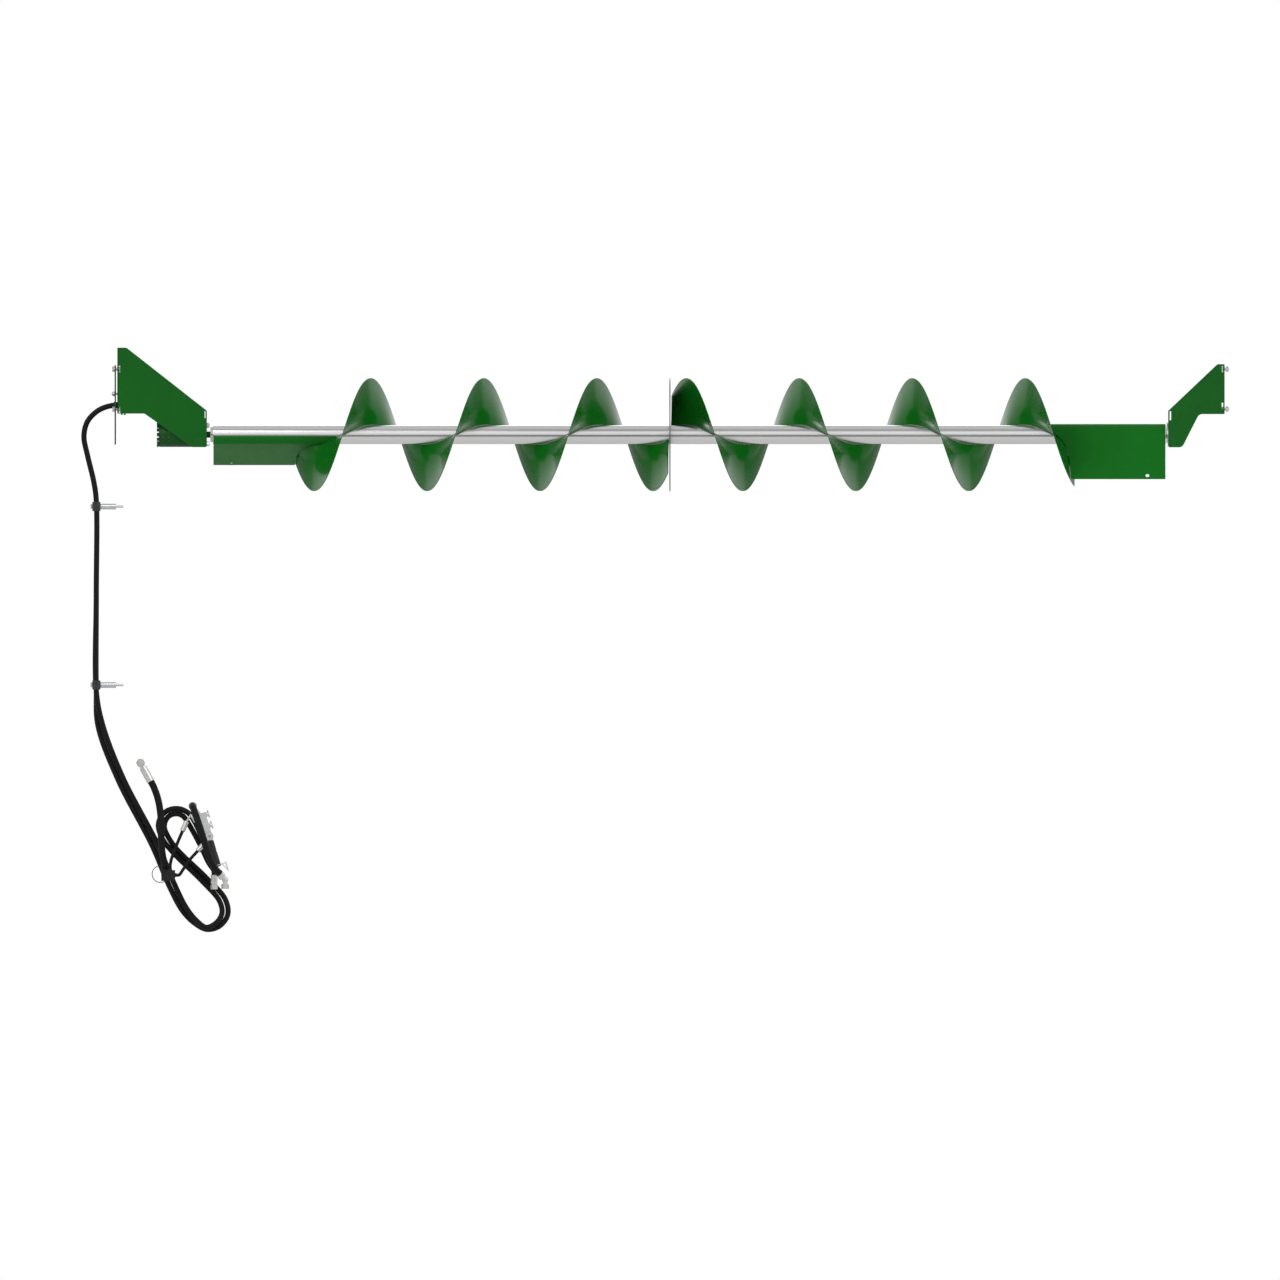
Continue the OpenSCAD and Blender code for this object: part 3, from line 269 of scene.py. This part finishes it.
drawn_tube = steel("drawn_steel_tube", "#dcdddc", "#cfd0d0", 0.17, (0.004, 1.0, 1.0), 2.0, 0.03, 900.0)
sheet_steel = steel("rolled_steel_sheet", "#858b85", "#707570", 0.36, grain_mm=3.0, cloud_mm=60.0)
zinc = steel("zinc_plate", "#d5d7d9", "#b9bdc0", 0.3, bump_by=0.04, cloud_mm=18.0)
fitting_zinc = steel("zinc_nickel_fitting", "#dddddb", "#c2c1be", 0.24, bump_by=0.04, cloud_mm=18.0)
ground = steel("ground_steel", "#dcdddf", "#c3c5c8", 0.2, (4.0, 1.0, 1.0), 0.8, 0.08, 25.0, 0.4)
black_oxide = steel("black_oxide_steel", "#3a3a3b", "#232324", 0.42, grain_mm=0.7)
dark_iron = steel("phosphated_iron", "#3c3d3c", "#1e1f1e", 0.55, bump_by=0.5)
brass = steel("pressed_brass", "#c9a55a", "#a8853f", 0.3, grain_mm=0.8)
print("materials so far:", len(bpy.data.materials))

# %% [markdown]
# ## Hose cover
# A hydraulic hose is cured inside a tight wrapping tape, which leaves a slanting weave in its
# cover: a dull black with faint lines. The hose's UV map is in metres along and around, so the
# tape's 3 mm lines can slant across it.

# %% Hose cover
TAPE_MM = 3.0
TAPE_SLANT = 24


def hose_cover(name, light, dark):
    made, tree, shader = material(name)
    uv = add(tree, "ShaderNodeTexCoord").outputs["UV"]
    slant = add(tree, "ShaderNodeMapping", {"Vector": uv, "Rotation": (0.0, 0.0, math.radians(TAPE_SLANT))})
    tape = add(tree, "ShaderNodeTexWave", {"Vector": slant.outputs[0],
                                           "Scale": per_mm(TAPE_MM) / math.tau, "Distortion": 0.6,
                                           "Detail": 2.0, "Detail Scale": 2.0}, wave_profile="SIN")
    fleck = add(tree, "ShaderNodeTexNoise", {"Vector": uv, "Scale": per_mm(28), "Detail": 7.0,
                                             "Roughness": 0.65})
    tone = add(tree, "ShaderNodeMix", {SHARE: fleck.outputs["Fac"], FROM: linear(dark), TO: linear(light)},
               data_type="RGBA").outputs[MIXED]
    tree.links.new(tone, shader.inputs["Base Color"])
    rough = add(tree, "ShaderNodeMapRange", {"Value": fleck.outputs["Fac"], "To Min": 0.42, "To Max": 0.7})
    tree.links.new(rough.outputs[0], shader.inputs["Roughness"])
    bump = add(tree, "ShaderNodeBump", {"Height": tape.outputs["Fac"], "Strength": 0.3,
                                        "Distance": 0.5 * MM})
    tree.links.new(bump.outputs[0], shader.inputs["Normal"])
    shader.inputs["IOR"].default_value = 1.52
    shader.inputs["Specular IOR Level"].default_value = 0.16
    return made


rubber_cover = hose_cover("wrapped_hose_cover", "#0e0e0e", "#080809")
print("hose finish:", rubber_cover.name)

# %% [markdown]
# ## Moulded rubber and nylon
# Seals, the grommet and the coupler's boot are moulded rubber, and the clamps are nylon filled
# with glass. Both leave the mould a dull black, with only a fine even grain.

# %% Moulded rubber and nylon


def moulded(name, light, dark, rough, grain_mm):
    made, tree, shader = material(name)
    place = add(tree, "ShaderNodeTexCoord").outputs["Object"]
    grain = add(tree, "ShaderNodeTexNoise", {"Vector": place, "Scale": per_mm(grain_mm), "Detail": 5.0})
    cloud = add(tree, "ShaderNodeTexNoise", {"Vector": place, "Scale": per_mm(25), "Detail": 4.0})
    tone = add(tree, "ShaderNodeMix", {SHARE: cloud.outputs["Fac"], FROM: linear(dark), TO: linear(light)},
               data_type="RGBA").outputs[MIXED]
    tree.links.new(tone, shader.inputs["Base Color"])
    haze = add(tree, "ShaderNodeMapRange", {"Value": cloud.outputs["Fac"], "To Min": rough - 0.1,
                                            "To Max": rough + 0.1})
    tree.links.new(haze.outputs[0], shader.inputs["Roughness"])
    bump = add(tree, "ShaderNodeBump", {"Height": grain.outputs["Fac"], "Strength": 0.35,
                                        "Distance": 0.3 * MM})
    tree.links.new(bump.outputs[0], shader.inputs["Normal"])
    return made


moulded_rubber = moulded("moulded_rubber", "#141415", "#0d0d0e", 0.6, 1.5)
clamp_nylon = moulded("glass_filled_nylon", "#2a2b2b", "#191a1a", 0.5, 0.9)
print("moulded finishes:", moulded_rubber.name, clamp_nylon.name)

# %% [markdown]
# ## Finishes on the solids
# The exact solids keep their shape, and each takes the finish of its real surface. A table of
# finish and pieces says it once.

# %% Assign finishes
FINISHES = {
    bracket_green: "drive_bracket idler_bracket",
    plate_green: "drive_backing_plate",
    paddle_green: "left_paddle right_paddle left_flighting right_flighting",
    motor_green: "motor_end_cover motor_housing geroler_ring motor_spacer_plate motor_cover_bolts "
                 "motor_output_shaft",
    hub_grey: "drive_hub tube_end_plug valve_block",
    drawn_tube: "auger_tube",
    sheet_steel: "centre_disc",
    ground: "geroler_rollers geroler_star drive_link motor_shaft_key idler_stub_shaft bearing_outer_ring "
            "bearing_inner_ring bearing_balls",
    zinc: "bracket_bolts bracket_nuts motor_mount_bolts motor_mount_nuts paddle_bolts paddle_nuts "
          "flangettes flangette_bolts flangette_nuts clamp_spacers clamp_studs",
    fitting_zinc: "motor_port_fittings hose_end_fittings front_swivel_nut back_swivel_nut "
                  "supply_swivel_nut upper_cock lower_cock boot_bail",
    black_oxide: "hub_set_screws bearing_lock_collar",
    rubber_cover: "pressure_hose return_hose supply_hose drain_hose pilot_hoses",
    moulded_rubber: "hose_grommet motor_shaft_seal bearing_seals coupler_boot",
    clamp_nylon: "hose_clamps hose_tie",
    dark_iron: "junction_manifold",
    brass: "bearing_cage",
}
dressed = set()
for finish, names in FINISHES.items():
    for name in names.split():
        piece = nodes[name].data
        piece.materials.clear()
        piece.materials.append(finish)
        dressed.add(name)
print("without a finish:", sorted(set(nodes) - dressed))

# %% [markdown]
# ## Routes
# A hose is clamped here and there and bends evenly in between, so a few points say where it
# runs. The line through them is a Catmull-Rom spline, because it passes through every point it
# is given, and of the centripetal kind, which makes no kinks where points lie close together.

# %% Routes


def smooth_route(points, step):
    """Points about one step apart on a centripetal Catmull-Rom spline through the given ones."""
    p = [np.array(q, float) for q in points]
    p = [2 * p[0] - p[1]] + p + [2 * p[-1] - p[-2]]
    route = []
    for i in range(1, len(p) - 2):
        a, b, c, d = p[i - 1:i + 3]
        t0 = 0.0
        t1 = t0 + np.linalg.norm(b - a) ** 0.5
        t2 = t1 + np.linalg.norm(c - b) ** 0.5
        t3 = t2 + np.linalg.norm(d - c) ** 0.5
        count = max(2, int(np.linalg.norm(c - b) / step))
        for k in range(count):
            t = t1 + (t2 - t1) * k / count
            ab = (t1 - t) / (t1 - t0) * a + (t - t0) / (t1 - t0) * b
            bc = (t2 - t) / (t2 - t1) * b + (t - t1) / (t2 - t1) * c
            cd = (t3 - t) / (t3 - t2) * c + (t - t2) / (t3 - t2) * d
            abc = (t2 - t) / (t2 - t0) * ab + (t - t0) / (t2 - t0) * bc
            bcd = (t3 - t) / (t3 - t1) * bc + (t - t1) / (t3 - t1) * cd
            route.append((t2 - t) / (t2 - t1) * abc + (t - t1) / (t2 - t1) * bcd)
    route.append(p[-2])
    return [Vector(q) for q in route]


print("points round one bend:", len(smooth_route([(0, 0, 0), (1, 0, 0), (1, 1, 0)], 0.1)))

# %% [markdown]
# ## Tubes along a route
# Hoses and weld beads are both tubes along a line. A curve object could draw them, but a mesh
# swept by hand gives a UV map in metres, which the hose cover's slanting tape needs. Each ring
# of points is turned only as far as the line turns, so the tube doesn't twist.

# %% Tubes
TUBE_SIDES = 24


def put(name, mesh, finish, body="frame"):
    """A mesh becomes a piece with a finish that moves with a body."""
    piece = bpy.data.objects.new(name, mesh)
    bpy.context.collection.objects.link(piece)
    mesh.materials.append(finish)
    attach(piece, body)
    return piece


def tube_mesh(name, route, radius, sides=TUBE_SIDES):
    """A closed tube round a route, and its length; radius depends on the place along it and on that."""
    mesh = bpy.data.meshes.new(name)
    build = bmesh.new()
    layer = build.loops.layers.uv.new("UVMap")
    along = [0.0]
    for a, b in zip(route, route[1:]):
        along.append(along[-1] + (b - a).length)
    way = (route[1] - route[0]).normalized()
    side = way.orthogonal().normalized()
    rings = []
    for i, point in enumerate(route):
        ahead = route[min(i + 1, len(route) - 1)] - route[max(i - 1, 0)]
        turn = way.rotation_difference(ahead.normalized())
        way = ahead.normalized()
        side = (turn @ side).normalized()
        other = way.cross(side)
        r = radius(along[i], along[-1])
        rings.append([build.verts.new(point + r * (math.cos(t) * side + math.sin(t) * other))
                      for t in [math.tau * k / sides for k in range(sides)]])
    for i in range(len(rings) - 1):
        for k in range(sides):
            n = (k + 1) % sides
            face = build.faces.new((rings[i][k], rings[i][n], rings[i + 1][n], rings[i + 1][k]))
            face.smooth = True
            width = math.tau * radius(along[i], along[-1]) / sides
            spots = ((along[i], k), (along[i], k + 1), (along[i + 1], k + 1), (along[i + 1], k))
            for loop, (u, v) in zip(face.loops, spots):
                loop[layer].uv = (u, v * width)
    build.faces.new(list(reversed(rings[0])))
    build.faces.new(rings[-1])
    bmesh.ops.recalc_face_normals(build, faces=build.faces)
    build.to_mesh(mesh)
    build.free()
    return mesh, along[-1]


print("tube sides:", TUBE_SIDES)

# %% [markdown]
# ## Where the main hoses run
# Two half-inch hydraulic hoses leave the motor, turn down outside the end sheet, run through
# two clamps, and hang in a loop to their loose ends. The visible hoses lie on the solid hoses'
# own points, in millimetres, so that both have one route.

# %% Main hose routes
FRONT_HOSE = [
    (190, -20, -100), (170, -20, -100), (95, -16, -82), (20, -12, -66), (-20, -12, -66), (-75, -12, -85),
    (-120, -12, -130), (-135, -12, -190), (-120, -12, -270), (-95, -15, -375), (-85, -18, -450),
    (-85, -18, -835), (-85, -18, -1220), (-60, -10, -1355), (21, -4, -1568), (161, -4, -1838),
    (236, -4, -2013), (280, -8, -2100), (320, -11, -2150), (360, -12, -2178), (401, -9, -2159),
    (424, -2, -2120), (413, 2, -2070), (345, 11, -1992), (224, 8, -1873), (182, 2, -1818),
    (166, -2, -1765), (178, -4, -1728), (205, -5, -1704), (246, -5, -1697), (284, -6, -1712),
    (308, -9, -1742), (354, -34, -1842), (378, -52, -1915), (392, -63, -1950), (392, -63, -1966),
]
BACK_HOSE = [
    (190, 20, -100), (170, 20, -100), (95, 16, -82), (20, 12, -66), (-20, 12, -66), (-75, 12, -85),
    (-120, 12, -130), (-135, 12, -190), (-120, 12, -270), (-95, 15, -375), (-85, 18, -450),
    (-85, 18, -835), (-85, 18, -1220), (-78, 10, -1362), (2, 4, -1578), (142, 4, -1849), (216, 4, -2023),
    (265, 8, -2112), (312, 11, -2160), (362, 12, -2186), (413, 9, -2173), (447, 2, -2127),
    (437, 8, -2064), (360, 19, -1977), (239, 16, -1859), (203, 10, -1806), (190, 6, -1770),
    (197, 4, -1742), (214, 5, -1724), (242, 5, -1718), (266, 4, -1727), (284, 1, -1751),
    (338, -13, -1849), (370, -26, -1917), (392, -34, -1950), (392, -34, -1966),
]
print("points along the main hoses:", len(FRONT_HOSE), len(BACK_HOSE))

# %% [markdown]
# ## Main hoses
# Each hose is one smooth tube from fitting to fitting. It leaves its ferrule through a short
# flare, because the crimp bulges the cover a little.

# %% Main hoses
MAIN_D = 0.022
SWEEP_STEP = 0.012
FLARE, FLARE_LENGTH = 0.03, 0.02


def hose(name, points, diameter, node):
    route = smooth_route([[v * MM for v in p] for p in points], SWEEP_STEP)
    body_r = diameter / 2

    def radius(at, whole):
        near = min(at, whole - at)
        return body_r * (1.0 + FLARE * max(0.0, 1 - near / FLARE_LENGTH))

    mesh, length = tube_mesh(name, route, radius)
    piece = put(name, mesh, rubber_cover)
    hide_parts(node)
    print(name, "is", round(length, 3), "m long")


hose("pressure_line", FRONT_HOSE, MAIN_D, "pressure_hose")
hose("return_line", BACK_HOSE, MAIN_D, "return_hose")

# %% [markdown]
# ## Jumper, drain and pilot hoses
# The shorter hoses join the valve block, the junction block and the loose fittings. They are
# stiff and short, so each keeps its own arc.

# %% Short hoses
WIDE_D, PILOT_D = 0.028, 0.013
SUPPLY = [(305, -112, -1687), (305, -132, -1687), (312, -165, -1708), (330, -188, -1760),
          (352, -195, -1830), (374, -186, -1900), (394, -166, -1938), (412, -148, -1958)]
DRAIN = [(135, -75, -1586), (145, -75, -1604), (165, -75, -1660), (177, -75, -1740), (178, -75, -1830),
         (184, -75, -1890), (192, -75, -1925), (192, -75, -1940)]
PILOT_HIGH = [(264, -80, -1788), (244, -85, -1835), (218, -95, -1905), (214, -98, -1928), (214, -98, -1940)]
PILOT_LOW = [(326, -80, -1868), (290, -84, -1908), (262, -88, -1950), (250, -90, -1966), (240, -90, -1966)]
hose("supply_jumper", SUPPLY, WIDE_D, "supply_hose")
hose("drain_line", DRAIN, WIDE_D, "drain_hose")
hose("pilot_line_high", PILOT_HIGH, PILOT_D, "pilot_hoses")
hose("pilot_line_low", PILOT_LOW, PILOT_D, "pilot_hoses")

# %% [markdown]
# ## The helix of the flighting
# Flighting is a steel strip cold-rolled into a helix: thick where it is welded to the tube and
# drawn thinner towards its rim. It goes one pitch along the tube in each turn. The two ends
# wind opposite ways, so that both push crop to the disc in the middle.

# %% Helix
PITCH = 0.4572
FLIGHT_R = 0.2286
TUBE_R = 0.0381
AXIS_Z = -0.184
SHEET = 0.0048
RIM_THINNING = 0.4
# How far round the tube each strip's outer end is, in degrees.
END_TURN = 152.7
tube_low, tube_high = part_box("auger_tube")
disc_low, disc_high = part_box("centre_disc")
SIDES = {
    "left": dict(end=tube_low[0], way=1, start=98.7, bare=0.319, reach=disc_low[0] - tube_low[0]),
    "right": dict(end=tube_high[0], way=-1, start=3.0, bare=0.371, reach=tube_high[0] - disc_high[0]),
}


def half_sheet(r):
    """Half of the sheet's thickness along the axis, thinning to 60 percent at the rim."""
    thin = 1 - RIM_THINNING * (r - TUBE_R) / (FLIGHT_R - TUBE_R)
    return SHEET / 2 * thin * math.sqrt(1 + (PITCH / (math.tau * r)) ** 2)


def flight_point(side, inward, r, turn):
    """A point on one end's helix: distance in from the tube's end, radius, turn about the tube."""
    a = math.radians(side["start"] + turn)
    return Vector((side["end"] + side["way"] * inward, -r * math.sin(a), AXIS_Z + r * math.cos(a)))


print("half the strip along the axis, in mm:", round(half_sheet(TUBE_R) / MM, 2), "at the tube and",
      round(half_sheet(FLIGHT_R) / MM, 2), "at the rim")

# %% [markdown]
# ## Flighting strips
# The solids follow the helix in flat steps, so a finer strip stands for them: one ring of points
# every two degrees, with nine across each face. The faces are shaded smooth and the rim stays
# sharp. The strip keeps a hair clear of the tube and a little room from the disc.

# %% Flighting strips
RING_TURN = 2
ACROSS = (0, 0.1, 0.2, 0.32, 0.45, 0.58, 0.72, 0.86, 1.0)
HAIR = 0.00005
DISC_ROOM = 0.0003
CREASE = 40
# The radius at which the UV map is to scale along the arc.
UV_ARM = 0.16


def flighting(name, side, node):
    limit = side["reach"] - half_sheet(TUBE_R) - DISC_ROOM
    total = (limit - side["bare"]) / PITCH * 360
    steps = math.ceil(total / RING_TURN)
    radii = [TUBE_R + HAIR + (FLIGHT_R - TUBE_R - 2 * HAIR) * t for t in ACROSS]
    outline = [(r, -1) for r in radii] + [(r, 1) for r in reversed(radii)]
    mesh = bpy.data.meshes.new(name)
    build = bmesh.new()
    layer = build.loops.layers.uv.new("UVMap")
    rings = []
    for i in range(steps + 1):
        turn = END_TURN - i * total / steps
        inward = side["bare"] + PITCH / 360 * (END_TURN - turn)
        rings.append([build.verts.new(flight_point(side, inward + s * half_sheet(r), r, turn))
                      for r, s in outline])
    m = len(outline)
    for i in range(steps):
        for k in range(m):
            n = (k + 1) % m
            face = build.faces.new((rings[i][k], rings[i][n], rings[i + 1][n], rings[i + 1][k]))
            face.smooth = True
            arc = math.radians(total / steps) * UV_ARM
            spots = ((i, k), (i, n), (i + 1, n), (i + 1, k))
            for loop, (u, v) in zip(face.loops, spots):
                loop[layer].uv = (u * arc, outline[v][0])
    build.faces.new(rings[0])
    build.faces.new(list(reversed(rings[-1])))
    bmesh.ops.recalc_face_normals(build, faces=build.faces)
    for edge in build.edges:
        edge.smooth = len(edge.link_faces) == 2 and edge.calc_face_angle(0.0) < math.radians(CREASE)
    build.to_mesh(mesh)
    build.free()
    piece = put(name, mesh, flight_green, "auger")
    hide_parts(node)
    print(name, "has", len(mesh.polygons), "faces over", round(total / 360, 2), "turns")
    return total


left_turn = flighting("left_flight_strip", SIDES["left"], "left_flighting")
right_turn = flighting("right_flight_strip", SIDES["right"], "right_flighting")

# %% [markdown]
# ## Weld beads
# The flighting is stitched to the tube by a weld along its root on both sides. A thin tube
# follows the root; its radius ripples every 6 mm, as the puddle freezes in scales.

# %% Weld beads
weld_steel = steel("weld_bead_steel", "#8f9290", "#5f6461", 0.45, grain_mm=1.0, bump_by=0.5)
BEAD_R = 0.0026
RIPPLE, RIPPLE_LENGTH = 0.0004, 0.006
BEAD_SIDES = 8
BEAD_TURN = 1.5
BEAD_LIFT = 0.0006
END_ROOM = 0.004


def ripple(at, whole):
    return BEAD_R + RIPPLE * math.sin(math.tau * at / RIPPLE_LENGTH)


for label, total in (("left", left_turn), ("right", right_turn)):
    side = SIDES[label]
    for face in (-1, 1):
        route = []
        for i in range(int(total / BEAD_TURN) + 1):
            turn = END_TURN - i * BEAD_TURN
            root = side["bare"] + PITCH / 360 * (END_TURN - turn)
            inward = root + face * (half_sheet(TUBE_R) + BEAD_LIFT)
            if END_ROOM < inward < side["reach"] - END_ROOM:
                route.append(flight_point(side, inward, TUBE_R + BEAD_LIFT, turn))
        mesh, length = tube_mesh(f"{label}_weld", route, ripple, BEAD_SIDES)
        bead = put(f"{label}_root_weld_{'out' if face < 0 else 'in'}", mesh, weld_steel, "auger")
print("weld along the root:", round(length, 2), "m a side")

# %% [markdown]
# ## Floor
# The bright tube mirrors that floor, so its far part is darker in reflections only: that
# draws a crisp line along the tube, and the floor itself stays evenly pale.

# %% Floor
FLOOR_REACH = 70.0
FLOOR_DROP = 0.05
CORNERS = ((-1, -1), (1, -1), (1, 1), (-1, 1))
FADE_FROM, FADE_TO = 3.8, 4.6
floor_mesh = bpy.data.meshes.new("floor")
low = cad_box[0][2] - FLOOR_DROP
middle = (cad_box[0][0] + cad_box[1][0]) / 2
floor_mesh.from_pydata([(middle + x * FLOOR_REACH, y * FLOOR_REACH, low) for x, y in CORNERS],
                       [], [(0, 1, 2, 3)])
floor = bpy.data.objects.new("floor", floor_mesh)
bpy.context.collection.objects.link(floor)
pale, tree, shader = material("pale_studio_floor")
place = add(tree, "ShaderNodeTexCoord").outputs["Object"]
speck = add(tree, "ShaderNodeTexNoise", {"Vector": place, "Scale": per_mm(25), "Detail": 6.0})
tone = add(tree, "ShaderNodeMix", {SHARE: speck.outputs["Fac"], FROM: linear("#e3e3e2"),
                                   TO: linear("#eaeae9")}, data_type="RGBA").outputs[MIXED]
spot = add(tree, "ShaderNodeSeparateXYZ", {"Vector": place}).outputs["Y"]
off = add(tree, "ShaderNodeMath", {0: spot}, operation="ABSOLUTE")
far = add(tree, "ShaderNodeMapRange", {"Value": off.outputs[0], "From Min": FADE_FROM, "From Max": FADE_TO})
mirrored = add(tree, "ShaderNodeLightPath").outputs["Is Glossy Ray"]
shade = add(tree, "ShaderNodeMath", {0: far.outputs[0], 1: mirrored}, operation="MULTIPLY")
floor_tone = add(tree, "ShaderNodeMix", {SHARE: shade.outputs[0], FROM: tone, TO: linear("#8d8d8c")},
                 data_type="RGBA").outputs[MIXED]
tree.links.new(floor_tone, shader.inputs["Base Color"])
shader.inputs["Roughness"].default_value = 0.85
floor_mesh.materials.append(pale)
print("floor at", round(low, 3), "m")

# %% [markdown]
# ## Sky
# A pale sky all round gives the even light of a studio. A bright tube only shows what it
# mirrors, so the sky has bands: a bright one over the horizon, a dim one above it, and a dim
# one below. They draw the other lines along the tube; the camera itself sees plain white.

# %% Sky
WHITE = (1.0, 1.0, 1.0, 1.0)
# Each band is how far up its middle is, from -1 below to 1 overhead, and how bright it is.
SKY_BANDS = [(-1.0, 0.85), (-0.69, 0.6), (-0.42, 0.26), (-0.2, 0.26), (-0.06, 0.7), (0.06, 0.95),
             (0.3, 1.0), (0.58, 1.0), (0.74, 0.45), (0.86, 0.42), (0.94, 0.55), (1.0, 0.78)]
world = bpy.data.worlds.new("studio")
bpy.context.scene.world = world
world.use_nodes = True
sky = world.node_tree
backdrop = sky.nodes["Background"]
ways = add(sky, "ShaderNodeSeparateXYZ", {"Vector": add(sky, "ShaderNodeTexCoord").outputs["Generated"]})
height = add(sky, "ShaderNodeMapRange", {"Value": ways.outputs["Z"], "From Min": -1.0, "From Max": 1.0})
bands = add(sky, "ShaderNodeValToRGB", {"Fac": height.outputs[0]})
stops = bands.color_ramp.elements
stops.remove(stops[0])
for i, (up, glow) in enumerate(SKY_BANDS):
    stop = stops[0] if i == 0 else stops.new((up + 1) / 2)
    stop.position = (up + 1) / 2
    stop.color = (glow, glow, glow, 1.0)
seen = add(sky, "ShaderNodeLightPath")
shown = add(sky, "ShaderNodeMix", {SHARE: seen.outputs["Is Camera Ray"], FROM: bands.outputs["Color"],
                                   TO: WHITE}, data_type="RGBA").outputs[MIXED]
sky.links.new(shown, backdrop.inputs["Color"])
backdrop.inputs["Strength"].default_value = 1.0
print("bands of sky:", len(SKY_BANDS))

# %% [markdown]
# ## Lamps
# Three broad square lamps shade the flighting: a key lamp high on the left, a weaker fill on the
# right, and a weak rim lamp behind. Broad lamps give soft shadows, as a studio's soft boxes do.

# %% Lamps
LAMP_WIDTH = 4.0


def lamp(name, place, target, watts):
    """A square soft lamp that faces its target."""
    data = bpy.data.lights.new(name, "AREA")
    data.size = LAMP_WIDTH
    data.energy = watts
    made = bpy.data.objects.new(name, data)
    bpy.context.collection.objects.link(made)
    made.visible_camera = False
    made.location = place
    made.rotation_euler = (Vector(target) - Vector(place)).to_track_quat("-Z", "Y").to_euler()


lamp("key_lamp", (-1.5, -5.0, 4.0), (2.0, 0.0, -0.5), 150)
lamp("fill_lamp", (6.5, -5.5, 2.0), (2.4, 0.0, -0.5), 80)
lamp("rim_lamp", (2.0, 5.0, 3.5), (2.2, 0.0, -0.5), 40)
bpy.context.scene.view_settings.view_transform = "Standard"
